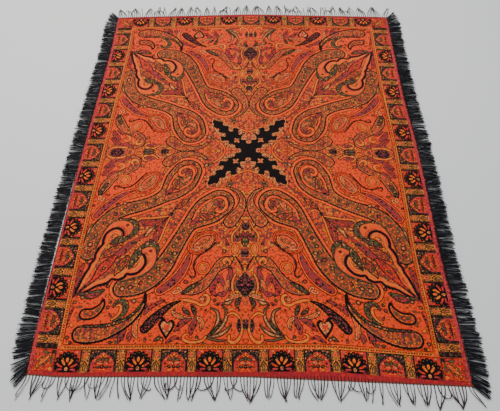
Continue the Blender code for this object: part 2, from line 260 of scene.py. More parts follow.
CORNER = (
    Motif("mauve_stem", ((152, 168, 1), (190, 205, 2), (214, 230, 2))),
    Motif("red_leaf", ((214, 226, 2), (228, 242, 9), (242, 256, 9), (258, 270, 2))),
    Motif("line", ((256, 268, 2), (272, 290, 3), (285, 310, 2), (310, 340, 2), (352, 374, 2))),
    Round("dark_spot", 272, 292, 11, 8, 50),
    Motif("mauve_leaf", ((302, 318, 3), (330, 326, 11), (356, 328, 10), (378, 320, 3))),
    Motif("mauve_leaf", ((300, 330, 3), (306, 356, 12), (311, 382, 10), (314, 404, 3))),
    Motif("gold_stem", ((280, 300, 2), (300, 304, 3), (340, 308, 3), (374, 308, 3), (390, 318, 2))),
    Motif("gold_stem", ((272, 302, 2), (282, 330, 3), (290, 366, 3), (300, 402, 3), (310, 412, 2))),
    Motif("fan_leaf", ((322, 342, 2), (340, 360, 8), (352, 382, 4))),
    Motif("hook", (
        (420, 390, 3), (401, 375, 7), (389, 356, 9), (391, 336, 9), (403, 321, 7), (421, 315, 4),
        (446, 313, 2), (468, 321, 2), (489, 342, 2), (502, 369, 2), (509, 399, 2), (516, 428, 2),
    )),
    Motif("hook", (
        (368, 444, 3), (357, 427, 7), (341, 415, 9), (322, 412, 9), (307, 421, 7), (301, 440, 4),
        (302, 465, 2), (310, 495, 2), (328, 520, 2), (352, 537, 2), (384, 546, 2), (412, 552, 2),
    )),
    Motif("big_curl", (
        (412, 372, 3), (412, 348, 12), (428, 334, 12), (452, 330, 10), (476, 342, 9), (494, 372, 7),
        (503, 402, 5), (512, 430, 2),
    )),
    Motif("big_curl", (
        (356, 440, 3), (330, 438, 12), (318, 454, 12), (316, 478, 10), (326, 502, 9), (352, 524, 7),
        (380, 534, 5), (412, 548, 2),
    )),
    Motif("gold_band", (
        (440, 378, 3), (449, 366, 6), (464, 362, 8), (478, 370, 9), (486, 388, 9), (487, 405, 8),
        (496, 425, 8), (505, 445, 7), (506, 465, 7), (515, 485, 7), (520, 503, 6), (528, 522, 6),
        (536, 545, 5), (545, 572, 4), (558, 598, 1),
    )),
    Motif("gold_band", (
        (368, 462, 3), (355, 466, 6), (350, 480, 8), (353, 495, 9), (365, 510, 9), (383, 516, 8),
        (400, 515, 8), (414, 528, 8), (432, 535, 7), (450, 534, 7), (464, 546, 6), (484, 553, 6),
        (505, 563, 5), (530, 578, 4), (554, 594, 1),
    )),
    Motif("black_line", (
        (428, 384, 1.4), (432, 364, 2.4), (444, 353, 2.8), (460, 350, 2.8), (478, 357, 2.8),
        (492, 373, 2.8), (497, 395, 2.8), (496, 411, 2.4), (508, 430, 2.8), (515, 450, 2.6),
        (515, 469, 2.2), (526, 487, 2.6), (529, 505, 2.2), (539, 524, 2.4), (547, 550, 2.2),
        (554, 578, 2.0), (566, 608, 1.2),
    )),
    Motif("black_line", (
        (362, 453, 1.4), (348, 455, 2.4), (340, 471, 2.8), (338, 489, 2.8), (347, 508, 2.8),
        (362, 523, 2.8), (381, 528, 2.8), (397, 526, 2.4), (405, 539, 2.8), (424, 547, 2.6),
        (444, 544, 2.2), (457, 557, 2.6), (475, 563, 2.2), (493, 568, 2.4), (517, 583, 2.2),
        (541, 594, 2.0), (565, 607, 1.2),
    )),
    Motif("dark_leaf", ((410, 388, 4), (430, 393, 12), (448, 400, 12), (460, 406, 7), (470, 412, 1))),
    Motif("dark_leaf", ((363, 428, 4), (369, 448, 12), (378, 468, 12), (385, 488, 8), (391, 507, 1))),
    Motif("mauve_stem", (
        (352, 372, 2), (372, 390, 4), (392, 409, 9), (414, 431, 12), (436, 454, 12), (450, 470, 6),
    )),
    Round("dark_spot", 392, 408, 10, 5, 45),
    Motif("red_leaf", ((432, 422, 5), (450, 434, 12), (470, 447, 13), (484, 456, 8), (497, 467, 1))),
    Motif("red_leaf", ((402, 462, 5), (411, 480, 12), (423, 500, 13), (431, 514, 8), (437, 530, 1))),
    Motif("core", (
        (446, 463, 7), (464, 484, 15), (480, 503, 17), (493, 522, 12), (508, 546, 5), (532, 572, 2),
        (562, 604, 1),
    )),
    Motif("mauve_leaf", ((549, 488, 2), (556, 510, 8), (561, 540, 9), (564, 572, 6), (566, 596, 2))),
    Motif("fan_leaf", ((548, 330, 2), (556, 352, 5), (560, 378, 2))),
)
AXES = (
    Round("dark_spot", 2, 346, 12, 14, 0),
    Motif("gold_stem", ((14, 324, 2), (26, 352, 2), (41, 369, 3), (47, 388, 3), (44, 410, 2))),
    Motif("mauve_leaf", ((6, 370, 3), (16, 388, 7), (24, 402, 3))),
    Round("dark_spot", 28, 388, 5, 8, 40),
    Motif("dark_leaf", ((0, 392, 6), (3, 406, 9), (2, 420, 4))),
    Round("keyhole", 34, 434, 15, 22, 0),
    Round("dark_spot", 6, 452, 8, 14, 0),
    Motif("line", ((32, 462, 1.6), (22, 478, 2.2), (12, 496, 2.4), (6, 514, 2))),
    Motif("mauve_leaf", ((50, 500, 3), (47, 520, 6), (51, 545, 8), (55, 568, 6), (50, 586, 3))),
    Motif("dark_spot", ((0, 526, 4), (3, 545, 14), (6, 566, 25), (3, 586, 19), (0, 602, 8))),
    Motif("gold_stem", ((30, 528, 2), (40, 552, 3), (42, 580, 3), (34, 604, 2))),
    Motif("gold_leaf", ((55, 552, 3), (60, 570, 9), (66, 586, 5))),
    Motif("mauve_stem", ((72, 568, 4), (78, 550, 7), (86, 538, 7), (94, 546, 5), (88, 556, 3))),
    Motif("mauve_leaf", ((96, 552, 5), (105, 572, 9), (107, 592, 8), (96, 606, 3))),
    Motif("mauve_leaf", ((60, 592, 3), (74, 602, 8), (88, 602, 3))),
    Motif("gold_leaf", ((12, 606, 3), (38, 610, 7), (64, 624, 2))),
    Motif("dark_leaf", ((16, 616, 3), (26, 632, 7), (24, 646, 2))),
    Motif("fan_leaf", ((40, 622, 2), (56, 632, 6), (72, 632, 2))),
    Round("dark_spot", 330, 4, 15, 9, 0),
    Motif("gold_leaf", ((322, 22, 3), (340, 26, 7), (362, 14, 2))),
    Motif("gold_stem", (
        (352, 36, 2), (366, 22, 3), (384, 16, 4), (402, 20, 5), (410, 34, 5), (398, 44, 4),
    )),
    Motif("dark_leaf", ((376, 4, 3), (392, 8, 7), (412, 4, 2))),
    Motif("mauve_leaf", ((392, 30, 2), (400, 34, 5), (406, 30, 2))),
    Round("keyhole", 430, 8, 12, 8, 0),
    Motif("dark_spot", ((496, 2, 6), (514, 6, 18), (530, 6, 16), (542, 2, 6))),
    Motif("gold_stem", ((480, 20, 2), (498, 26, 4), (524, 28, 4), (548, 20, 3), (560, 8, 2))),
    Motif("mauve_stem", ((466, 34, 2), (484, 42, 5), (506, 40, 6), (520, 34, 3))),
    Motif("mauve_leaf", ((514, 46, 3), (532, 54, 9), (550, 72, 6))),
    Motif("mauve_leaf", ((518, 66, 3), (532, 78, 10), (546, 96, 8), (552, 112, 3))),
    Motif("gold_stem", ((498, 88, 2), (484, 80, 4), (480, 66, 5), (492, 58, 4), (502, 66, 3))),
    Motif("mauve_leaf", ((508, 96, 3), (520, 104, 7), (534, 116, 3))),
    Motif("fan_leaf", ((62, 146, 2), (64, 164, 7), (76, 172, 2))),
    Motif("fan_leaf", ((142, 62, 2), (156, 68, 7), (168, 80, 2))),
    Round("dark_spot", 66, 162, 8, 3.5, 15),
    Round("dark_spot", 152, 68, 3.5, 8, 10),
    Motif("gold_stem", ((0, 98, 2), (20, 104, 3), (44, 118, 3), (60, 138, 2))),
    Motif("gold_stem", ((92, 0, 2), (98, 20, 3), (112, 40, 3), (134, 58, 2))),
)
END_ZONE = (
    Motif("fan_leaf", (
        (75, 638, 1), (62, 656, 3), (62, 682, 5), (76, 710, 5), (100, 732, 4), (119, 742, 2),
    )),
    Motif("fan_leaf", ((111, 648, 1), (91, 660, 4), (86, 684, 5), (95, 712, 5), (119, 742, 2))),
    Motif("fan_leaf", ((45, 702, 1), (58, 718, 4), (82, 734, 5), (119, 742, 2))),
    Motif("fan_leaf", ((61, 751, 1), (84, 752, 3), (119, 744, 2))),
    Motif("dark_leaf", ((76, 690, 1), (90, 712, 4), (112, 736, 1))),
    Motif("gold_stem", (
        (58, 670, 2), (40, 664, 3), (22, 676, 3), (12, 699, 3), (11, 721, 3), (20, 745, 4),
        (36, 757, 5), (51, 752, 4), (51, 736, 3),
    )),
    Motif("dark_spot", ((20, 686, 3), (21, 706, 7), (19, 724, 3))),
    Round("dark_spot", 4, 700, 5, 16, 0),
    Motif("gold_stem", (
        (134, 604, 3), (124, 606, 4), (119, 618, 5), (126, 634, 5), (142, 639, 4), (160, 630, 4),
        (190, 622, 4), (214, 622, 2),
    )),
    Motif("gold_leaf", ((133, 614, 2), (138, 620, 5), (146, 616, 2))),
    Motif("dark_leaf", ((160, 672, 2), (164, 656, 6), (172, 640, 2))),
    Motif("dark_leaf", ((177, 670, 2), (188, 661, 6), (200, 650, 2))),
    Motif("gold_leaf", ((166, 680, 2), (190, 680, 4), (216, 674, 7), (234, 660, 3))),
    Motif("gold_leaf", ((158, 676, 2), (142, 688, 7), (137, 704, 6), (140, 720, 1))),
    Motif("mauve_leaf", ((158, 680, 2), (162, 698, 8), (170, 716, 8), (169, 734, 1))),
    Motif("mauve_leaf", ((172, 684, 2), (196, 694, 9), (212, 712, 5), (222, 724, 1))),
    Motif("gold_stem", (
        (178, 730, 2), (191, 736, 3), (192, 748, 4), (176, 756, 4), (152, 757, 3), (132, 750, 3),
        (123, 738, 2),
    )),
    Motif("spiky_leaf", (
        (206, 624, 2), (228, 632, 6), (250, 646, 10), (276, 669, 14), (300, 694, 17), (316, 714, 15),
    )),
    Motif("mauve_leaf", ((262, 622, 2), (284, 632, 6), (300, 646, 2))),
    Motif("mauve_leaf", ((292, 634, 2), (312, 650, 7), (322, 668, 2))),
    Motif("gold_leaf", ((322, 640, 2), (338, 664, 6), (348, 698, 8), (346, 728, 7), (338, 744, 2))),
    Motif("mauve_leaf", ((358, 722, 2), (362, 738, 8), (360, 752, 1))),
    Motif("mauve_leaf", ((376, 716, 2), (388, 738, 9), (394, 759, 1))),
    Motif("mauve_leaf", ((396, 718, 2), (408, 734, 8), (420, 742, 1))),
    Motif("mauve_stem", ((204, 748, 2), (218, 742, 5), (232, 750, 5), (244, 757, 2))),
    Motif("dark_leaf", ((256, 752, 2), (268, 744, 5), (282, 752, 2))),
    Motif("black_line", ((254, 690, 2), (266, 680, 3), (280, 682, 2), (288, 698, 1))),
    Motif("end_boteh", (
        (326, 598, 3), (325, 620, 4), (331, 642, 7), (346, 664, 10), (366, 685, 13), (390, 702, 16),
        (415, 714, 20), (443, 723, 25), (472, 728, 28), (500, 729, 29), (516, 729, 27),
    )),
    Motif("dark_leaf", (
        (330, 620, 1), (342, 646, 3), (364, 670, 4), (392, 688, 4), (430, 700, 4), (480, 704, 3),
        (520, 704, 1),
    )),
    Motif("dark_boteh", ((461, 618, 4), (463, 634, 9), (476, 652, 14), (494, 663, 17), (514, 664, 18))),
    Motif("hook", (
        (425, 641, 2), (420, 628, 4), (404, 620, 6), (388, 630, 8), (384, 650, 7), (394, 671, 6),
        (418, 688, 2),
    )),
    Motif("gold_stem", ((416, 638, 2), (404, 636, 3), (400, 652, 4), (410, 672, 3), (426, 684, 2))),
    Motif("dark_leaf", ((464, 582, 2), (484, 592, 11), (508, 600, 12), (530, 598, 8), (548, 592, 2))),
    Motif("mauve_leaf", ((478, 594, 2), (500, 601, 8), (524, 600, 2))),
    Motif("mauve_stem", ((553, 640, 1), (561, 664, 3), (567, 692, 3), (570, 740, 2))),
)
# Loose florets: middle and radius
FLORETS = (
    (405, 579, 10), (379, 574, 9), (346, 560, 8), (318, 540, 8), (292, 508, 8), (268, 478, 9),
    (256, 450, 7), (247, 424, 8), (232, 392, 7), (219, 362, 6), (541, 412, 10), (540, 442, 8),
    (528, 374, 8), (505, 326, 7), (472, 290, 8), (440, 272, 7), (404, 259, 8), (366, 246, 7),
    (334, 232, 6), (445, 246, 9), (468, 252, 9), (241, 452, 9), (250, 482, 9), (455, 569, 7),
    (531, 607, 8), (554, 624, 7), (443, 642, 7), (437, 625, 6), (361, 622, 9), (544, 756, 6),
    (557, 740, 7), (98, 622, 6), (88, 637, 5), (151, 741, 6), (71, 444, 8), (60, 416, 6),
    (407, 71, 8), (514, 204, 7), (197, 557, 8), (540, 478, 6), (66, 236, 5), (210, 62, 5),
    (226, 655, 5), (420, 756, 6), (127, 656, 4), (20, 655, 5), (420, 338, 6), (325, 440, 6),
    (478, 503, 7), (330, 400, 6), (560, 250, 6), (230, 752, 4),
)
# The black-rimmed heart of the end zone: its outline, middle and the share inside the rim
HEART = (
    (247, 750), (237, 734), (228, 720), (222, 705), (223, 693), (231, 686), (240, 688), (247, 695),
    (254, 687), (264, 684), (272, 690), (275, 703), (269, 718), (258, 734),
)
HEART_MIDDLE = (248, 709)
HEART_INSIDE = 0.68

# Half of one black arm of the centre: places along the arm and out from its middle line
ARM_TURN = 47.7
ARM_HALF = (
    (24, 28), (44, 28), (58, 25), (72, 25), (78, 37), (74, 49), (79, 50), (87, 36), (84, 28),
    (92, 27), (102, 33), (110, 48), (118, 42), (131, 36), (125, 24), (124, 11), (135, 11),
    (146, 22), (157, 24), (162, 16), (170, 13), (178, 18), (190, 23), (199, 14), (214, 8),
)
ARM_TIP = 221
ARM_RIM = 3.5
ARM_BUDS = ((62, 35, 10), (95, 41, 9), (128, 20, 8), (148, 30, 7), (165, 25, 7), (196, 26, 6))
ARM_FLORET = (71, 0, 15)
AXIS_BUDS = ((0, 44, 10), (40, 2, 10), (22, 62, 8), (62, 24, 8), (34, 92, 7), (88, 36, 7))

# The plainer ground towards the border
PLAIN_GROUND = (
    (
        (0, 640), (60, 600), (64, 450), (110, 424), (200, 430), (260, 520), (330, 590), (400, 618),
        (470, 560), (540, 480), (575, 470), (575, 775), (0, 775),
    ),
    (
        (330, 30), (420, 60), (575, 40), (575, 500), (556, 480), (540, 360), (500, 270), (420, 220),
        (340, 190),
    ),
)

# The small sprigs of the field: their spacing and their shape, along and across
SPRIG_PITCH = 60.0
SPRIG = ((1.0, 0.0), (0.3, 0.9), (-0.5, 0.8), (-1.0, 0.0), (-0.5, -0.8), (0.3, -0.9))

# Border, in millimetres in from the cloth's edge
SELVEDGE = 4.0
EDGE_STRIPE = 14.0
CELL_END = 80.0
GUARD_END = 96.0
PANEL_HALF = 13.5
ARCH_HALF = 39.0
END_PITCH = 108.4
SIDE_PITCH = 115.0
GUARD_DASH = 16.0

# The border cells, in millimetres: across from a cell's middle, and in from the cloth's
# edge. Each outline is half of one that is the same on both sides; each oval is its weave,
# place, half sizes and turn, and stands on both sides where it is off the middle
ARCH_DOME = (
    (37, 14), (37, 44), (34, 47), (34, 52), (29, 54), (28, 60), (22, 61), (20, 67), (13, 68),
    (10, 74), (3, 74), (0, 78),
)
ARCH_OVALS = (
    ("tan", 33, 73, 3.0, 2.4, 0), ("rose", 24, 75, 3.2, 2.0, 0), ("olive", 34, 62, 2.4, 2.4, 0),
    ("tan", 16, 76, 2.2, 1.8, 0), ("olive", 30, 68, 2.0, 2.0, 0),
    ("gold", 0, 66, 3.0, 5.0, 0), ("line", 8, 61, 8.4, 4.6, 30), ("gold", 8, 61, 6.0, 2.4, 30),
    ("line", 12, 50, 9.6, 5.0, -12), ("olive", 12, 50, 7.0, 2.8, -12), ("line", 0, 50, 4.6, 10.0, 0),
    ("olive", 0, 50, 2.4, 7.6, 0), ("gold", 24, 50, 3.4, 2.6, 0), ("tan", 9, 40, 8.0, 2.2, 8),
    ("mauve", 26, 38, 3.0, 4.4, 0), ("line", 0, 29, 6.4, 5.6, 0), ("rose", 0, 30, 2.4, 2.0, 0),
    ("line", 14, 29, 7.6, 4.4, 14), ("olive", 14, 30, 4.4, 1.8, 14), ("line", 25, 28, 3.4, 2.4, 0),
    ("gold", 7, 22, 3.0, 2.0, 0), ("olive", 20, 21, 4.0, 2.0, 0), ("rose", 31, 22, 2.6, 4.0, 0),
)
PALMETTE_BODY = ((36, 14), (36, 30), (33, 46), (26, 58), (14, 68), (0, 73))
PALMETTE_OVALS = (
    ("rose", 33, 70, 3.0, 6.5, 0), ("tan", 25, 75, 4.0, 2.0, 0), ("crimson", 17, 77, 3.0, 2.0, 0),
    ("black", 0, 72, 6.4, 6.0, 0), ("black", 12, 69, 6.0, 6.0, 0), ("black", 22.5, 62, 6.0, 6.0, 0),
    ("black", 30, 52, 6.0, 6.0, 0), ("black", 34, 40, 5.6, 6.0, 0), ("black", 35, 28, 4.4, 6.0, 0),
    ("band", 0, 71, 2.2, 2.4, 0), ("olive", 12, 67, 2.2, 2.2, 0), ("band", 22, 60, 2.2, 2.2, 0),
    ("olive", 29, 50, 2.2, 2.2, 0), ("band", 32, 38, 2.0, 2.4, 0),
    ("gold", 11, 43, 11.0, 3.6, 52), ("band", 13, 53, 6.0, 2.0, 60), ("red", 21, 33, 10.0, 3.4, 22),
    ("rose", 27, 38, 5.0, 2.0, 34), ("rose", 20, 22.5, 9.0, 3.0, 0), ("crimson", 28, 17, 6.0, 2.0, 0),
    ("gold", 0, 51, 4.4, 7.4, 0), ("bright", 0, 49, 2.6, 4.6, 0), ("black", 0, 27, 9.0, 11.0, 0),
    ("tan", 0, 24.5, 5.0, 6.0, 0), ("olive", 0, 23, 2.4, 2.8, 0),
)
PANEL_OGEE = ((10.8, 15), (11.6, 27), (9, 37), (3.4, 44), (0, 50))
PANEL_OVALS = (
    ("line", 0, 28, 5.6, 10.5, 0), ("olive", 0, 28, 4.0, 8.8, 0), ("gold", 0, 27, 1.4, 5.0, 0),
    ("line", 9, 48, 3.2, 3.0, 0), ("band", 0, 65, 7.4, 12.5, 0), ("gold", 0, 65, 4.4, 8.6, 0),
    ("red", 0, 65, 2.4, 5.4, 0), ("olive", 9.4, 56, 2.4, 4.0, 0), ("line", 9.4, 74, 2.4, 3.4, 0),
    ("mauve", 9.6, 65, 1.8, 3.0, 0),
)
GUARD_OVALS = (
    ("line", 4.4, 88.0, 3.6, 2.2, 30), ("tan", 0, 88.4, 2.0, 2.0, 0),
)
CORNER_OVALS = (
    ("line", 0, 0, 32, 14, 45), ("band", 0, 0, 30, 12, 45), ("line", 0, 0, 22, 7, 45),
    ("gold", 0, 0, 20, 5, 45), ("red", 0, 0, 12, 2.4, 45), ("line", 0, -24, 11, 4.6, 0),
    ("olive", 0, -24, 9.4, 3.2, 0), ("line", -24, 0, 4.6, 11, 0), ("olive", -24, 0, 3.2, 9.4, 0),
    ("deep", -27, -27, 7.0, 7.0, 0), ("rose", 24, -24, 5.0, 5.0, 0), ("gold", -24, 24, 5.0, 5.0, 0),
)

# The fringes: each one's CAD node, the axis it grows along and its side of the cloth
FringeRow = namedtuple("FringeRow", "node axis side")
SIDE_FRINGES = (FringeRow("fringe_left", 0, -1), FringeRow("fringe_right", 0, 1))
END_FRINGES = (FringeRow("fringe_near", 1, -1), FringeRow("fringe_far", 1, 1))
ROOT_GAP = -0.0015
LOCK_PITCH = 0.0068
LOCK_YARNS = 7
FAN_REACH = 0.075
FAN_TURN = 52.0
STRAND_PITCH = 0.0098
GROUP_SIZES = (1, 2, 3, 4, 4, 5, 5, 6, 7)
CURL_SHARE = 0.07
PATH_POINTS = 9
SIDE_ROOT_HEIGHT = 0.0012
END_ROOT_HEIGHT = 0.0014
END_LOW_HEIGHT = 0.0016
SPLAY_REACH = 0.06
SPLAY_SHIFT = 0.030

# The photographer's camera, the plain floor and the soft light
CAMERA_PLACE = (0.0071, -1.1556, 1.4463)
CAMERA_TURN = (32.534, 1.409, 1.755)
CAMERA_SHIFT = (0.0345, -0.0021)
SENSOR_WIDTH = 36.0
FLOOR_COLOR = (0.86, 0.86, 0.84, 1.0)
SKY_COLOR = (0.86, 0.93, 1.0, 1.0)
SKY_STRENGTH = 0.55
LAMP_PLACE = (-0.9, 1.4, 3.2)
LAMP_SIZE = (3.0, 2.5)
LAMP_COLOR = (1.0, 0.97, 0.93)
LAMP_POWER = 120.0


def smooth_step(q):
    """A soft rise from 0 to 1, for numbers or arrays."""
    q = np.clip(q, 0.0, 1.0)
    return q * q * (3 - 2 * q)


def edge_bow(name, along):
    """How far an edge lies outside the straight rectangle, on a smooth curve."""
    rows = np.array(EDGE_BOW[name])
    places, bows = rows[:, 0], rows[:, 1]
    last = len(rows) - 1
    along = np.clip(np.asarray(along, float), places[0], places[last])
    k = np.clip(np.searchsorted(places, along, side="left") - 1, 0, last - 1)
    before = np.maximum(k - 1, 0)
    after = np.minimum(k + 2, last)
    span = places[k + 1] - places[k]
    slope_start = (bows[k + 1] - bows[before]) / (places[k + 1] - places[before])
    slope_end = (bows[after] - bows[k]) / (places[after] - places[k])
    t = (along - places[k]) / span
    return (
        bows[k] * (2 * t**3 - 3 * t**2 + 1)
        + slope_start * span * (t**3 - 2 * t**2 + t)
        + bows[k + 1] * (3 * t**2 - 2 * t**3)
        + slope_end * span * (t**3 - t**2)
    )


def cloth_place(s, t):
    """Where points of the cloth lie; s and t run from -1 to 1."""
    left = -HALF_WIDTH - edge_bow("left", t * HALF_LENGTH)
    right = HALF_WIDTH + edge_bow("right", t * HALF_LENGTH)
    near = -HALF_LENGTH - edge_bow("near", s * HALF_WIDTH)
    far = HALF_LENGTH + edge_bow("far", s * HALF_WIDTH)
    return left + (right - left) * (s + 1) / 2, near + (far - near) * (t + 1) / 2


def fold_height(x, y, s, t):
    """How far the cloth's underside stands off the surface in its waves."""
    height = np.zeros_like(x)
    for fold in FOLDS:
        turn = math.radians(fold.turn)
        dx, dy = x - fold.x, y - fold.y
        along = np.abs(dx * math.cos(turn) + dy * math.sin(turn)) / fold.half_length
        across = np.abs(dy * math.cos(turn) - dx * math.sin(turn)) / fold.half_width
        bells = [np.cos(np.minimum(q, 1) * math.pi / 2) ** 2 for q in (along, across)]
        height += fold.height * bells[0] * bells[1]
    to_side = (1 - np.abs(s)) * HALF_WIDTH
    to_end = (1 - np.abs(t)) * HALF_LENGTH
    return height * smooth_step(np.minimum(to_side, to_end) / RIM_FADE)


def smooth_curve(rows, step):
    """Points at even spacing along a Catmull-Rom curve through the rows."""
    rows = np.asarray(rows, float)
    last = len(rows) - 1
    points = []
    for k in range(last):
        p0, p1, p2, p3 = (rows[min(max(k + d, 0), last)] for d in (-1, 0, 1, 2))
        length = np.linalg.norm(p2[:2] - p1[:2])
        pieces = max(int(math.ceil(length / step)), 1)
        for t in np.arange(pieces) / pieces:
            points.append(0.5 * (
                2 * p1 + (p2 - p0) * t + (2 * p0 - 5 * p1 + 4 * p2 - p3) * t * t
                + (3 * p1 - 3 * p2 + p3 - p0) * t**3
            ))
    points.append(rows[-1])
    return np.array(points)


def cap_points(middle, way, radius, step):
    """A round end of a motif, from its left side to its right."""
    count = max(int(math.pi * radius / step), 2)
    left = np.array((-way[1], way[0]))
    turns = np.linspace(0, math.pi, count + 1)[1:-1]
    return [middle + radius * (left * math.cos(t) + way * math.sin(t)) for t in turns]


def spine_loops(spine, depth, step, scallop=0.0):
    """Closed outlines of a motif with a spine, a depth inside its rim, plain or scalloped."""
    points = smooth_curve(spine, min(step, SCALLOP_STEP) if scallop else step)
    ways = np.gradient(points[:, :2], axis=0)
    ways /= np.maximum(np.linalg.norm(ways, axis=1), 1e-9)[:, None]
    gone = np.insert(np.cumsum(np.linalg.norm(np.diff(points[:, :2], axis=0), axis=1)), 0, 0.0)
    halves = points[:, 2] - depth
    halves += scallop * np.abs(np.sin(math.pi * gone / SCALLOP_PITCH)) * (halves > THINNEST)
    loops = []
    run = []
    for k in range(len(points) + 1):
        if k < len(points) and halves[k] > THINNEST:
            run.append(k)
            continue
        if len(run) > 2:
            lefts, rights = [], []
            for j in run:
                normal = np.array((-ways[j][1], ways[j][0]))
                lefts.append(points[j, :2] + normal * halves[j])
                rights.append(points[j, :2] - normal * halves[j])
            first, last = run[0], run[-1]
            end = cap_points(points[last, :2], ways[last], halves[last], step)
            start = cap_points(points[first, :2], -ways[first], halves[first], step)
            loops.append(np.array(lefts + end + rights[::-1] + start))
        run = []
    return loops


def oval_loop(a, b, ra, rb, turn, step):
    """A closed oval outline."""
    count = max(int(2 * math.pi * max(ra, rb) / step), 5)
    angles = np.arange(count) * 2 * math.pi / count
    turn = math.radians(turn)
    u, v = ra * np.cos(angles), rb * np.sin(angles)
    return np.stack([
        a + u * math.cos(turn) - v * math.sin(turn),
        b + u * math.sin(turn) + v * math.cos(turn),
    ], axis=1)


def grown(loop, depth):
    """A closed outline moved outwards by a depth."""
    loop = np.asarray(loop, float)
    along = np.roll(loop, -1, axis=0) - np.roll(loop, 1, axis=0)
    along /= np.maximum(np.linalg.norm(along, axis=1), 1e-9)[:, None]
    x, y = loop[:, 0], loop[:, 1]
    area = (x * np.roll(y, -1) - np.roll(x, -1) * y).sum()
    return loop + np.stack([along[:, 1], -along[:, 0]], axis=1) * math.copysign(depth, area)


def thinned(loop):
    """A closed outline without the points that its shape doesn't need."""
    kept = [0]
    for k in range(1, len(loop)):
        chord = loop[(k + 1) % len(loop)] - loop[kept[-1]]
        between = loop[kept[-1] + 1:k + 1] - loop[kept[-1]]
        off = np.abs(chord[0] * between[:, 1] - chord[1] * between[:, 0])
        if off.max() > FLATNESS * max(np.linalg.norm(chord), MERGE):
            kept.append(k)
    return loop[kept]


class Cartoon:
    """The weaver's drawing of one quarter: closed outlines, later ones over earlier ones."""

    def __init__(self):
        self.shapes = []

    def add(self, weave, points):
        self.shapes.append((WEAVE_NUMBER[weave], thinned(np.asarray(points, float))))

    def box(self, weave, a0, b0, a1, b1):
        self.add(weave, ((a0, b0), (a1, b0), (a1, b1), (a0, b1)))

    def motif(self, motif, step):
        for depth, weave, *scallop in LAYERS[motif.layers]:
            for loop in spine_loops(motif.spine, depth, step, *scallop):
                self.add(weave, loop)

    def oval(self, oval, step):
        for depth, weave, *_ in LAYERS[oval.layers]:
            if min(oval.ra, oval.rb) - depth > SMALLEST_OVAL:
                self.add(weave, oval_loop(
                    oval.a, oval.b, oval.ra - depth, oval.rb - depth, oval.turn, step))

    def paint(self, points):
        """The weave at each point: that of the last outline that holds it."""
        weaves = np.zeros(len(points), int)
        order = np.argsort(points[:, 0], kind="stable")
        sorted_a = points[order, 0]
        for number, loop in self.shapes:
            low, high = loop.min(axis=0), loop.max(axis=0)
            first, last = np.searchsorted(sorted_a, (low[0], high[0]))
            near = order[first:last]
            near = near[(points[near, 1] >= low[1]) & (points[near, 1] <= high[1])]
            if len(near):
                weaves[near[inside(loop, points[near])]] = number
        return weaves


def inside(loop, points):
    """Which points a closed outline winds round."""
    x, y = points[:, 0], points[:, 1]
    winding = np.zeros(len(points), int)
    starts, ends = loop, np.roll(loop, -1, axis=0)
    for (x0, y0), (x1, y1) in zip(starts, ends):
        up = (y0 <= y) & (y1 > y)
        down = (y0 > y) & (y1 <= y)
        side = (x1 - x0) * (y - y0) - (x - x0) * (y1 - y0)
        winding += (up & (side > 0)).astype(int)
        winding -= (down & (side < 0)).astype(int)
    return winding != 0


def draw_field(cartoon, seed):
    """The mottled field with its small sprigs, and the plainer ground towards the border."""
    cartoon.box("field", 0, 0, DESIGN_WIDTH, DESIGN_LENGTH)
    for outline in PLAIN_GROUND:
        cartoon.add("ground", outline)
    rng = random.Random(seed)
    for row in range(int(DESIGN_LENGTH / SPRIG_PITCH)):
        for column in range(int(DESIGN_WIDTH / SPRIG_PITCH)):
            a = (column + rng.uniform(0.1, 0.9)) * SPRIG_PITCH
            b = (row + rng.uniform(0.1, 0.9)) * SPRIG_PITCH
            weave = rng.choice(("mauve", "gold", "olive", "gold", "red"))
            turn = rng.uniform(0, 2 * math.pi)
            wide = rng.uniform(3.0, 4.5)
            long = wide * rng.uniform(1.6, 2.4)
            for kind, rim in (("line", 1.6), (weave, 0.0)):
                cartoon.add(kind, [
                    (
                        a + u * (long + rim) * math.cos(turn) - v * (wide + rim) * math.sin(turn),
                        b + u * (long + rim) * math.sin(turn) + v * (wide + rim) * math.cos(turn),
                    )
                    for u, v in SPRIG
                ])


def draw_motifs(cartoon):
    """The botehs, leaves and flowers of the field."""
    for group in (HEADS, SMALL_BOTEHS, CORNER, AXES, END_ZONE):
        step = CURVE_STEP if group is HEADS else SMALL_STEP
        for motif in group:
            if isinstance(motif, Round):
                cartoon.oval(motif, step)
            else:
                cartoon.motif(motif, step)
    for k, (a, b, radius) in enumerate(FLORETS):
        kind = "small_floret" if k % 3 == 2 else "floret"
        cartoon.oval(Round(kind, a, b, radius, radius, 0), SMALL_STEP)
    middle = np.array(HEART_MIDDLE)
    for weave, size in (("black", 1.0), ("tan", HEART_INSIDE), ("red", HEART_INSIDE / 2)):
        cartoon.add(weave, middle + (np.array(HEART) - middle) * size)


def arm_place(along, out):
    """A point of the black arm in the quarter's own directions."""
    turn = math.radians(ARM_TURN)
    a = along * math.cos(turn) + out * math.sin(turn)
    b = along * math.sin(turn) - out * math.cos(turn)
    return a, b


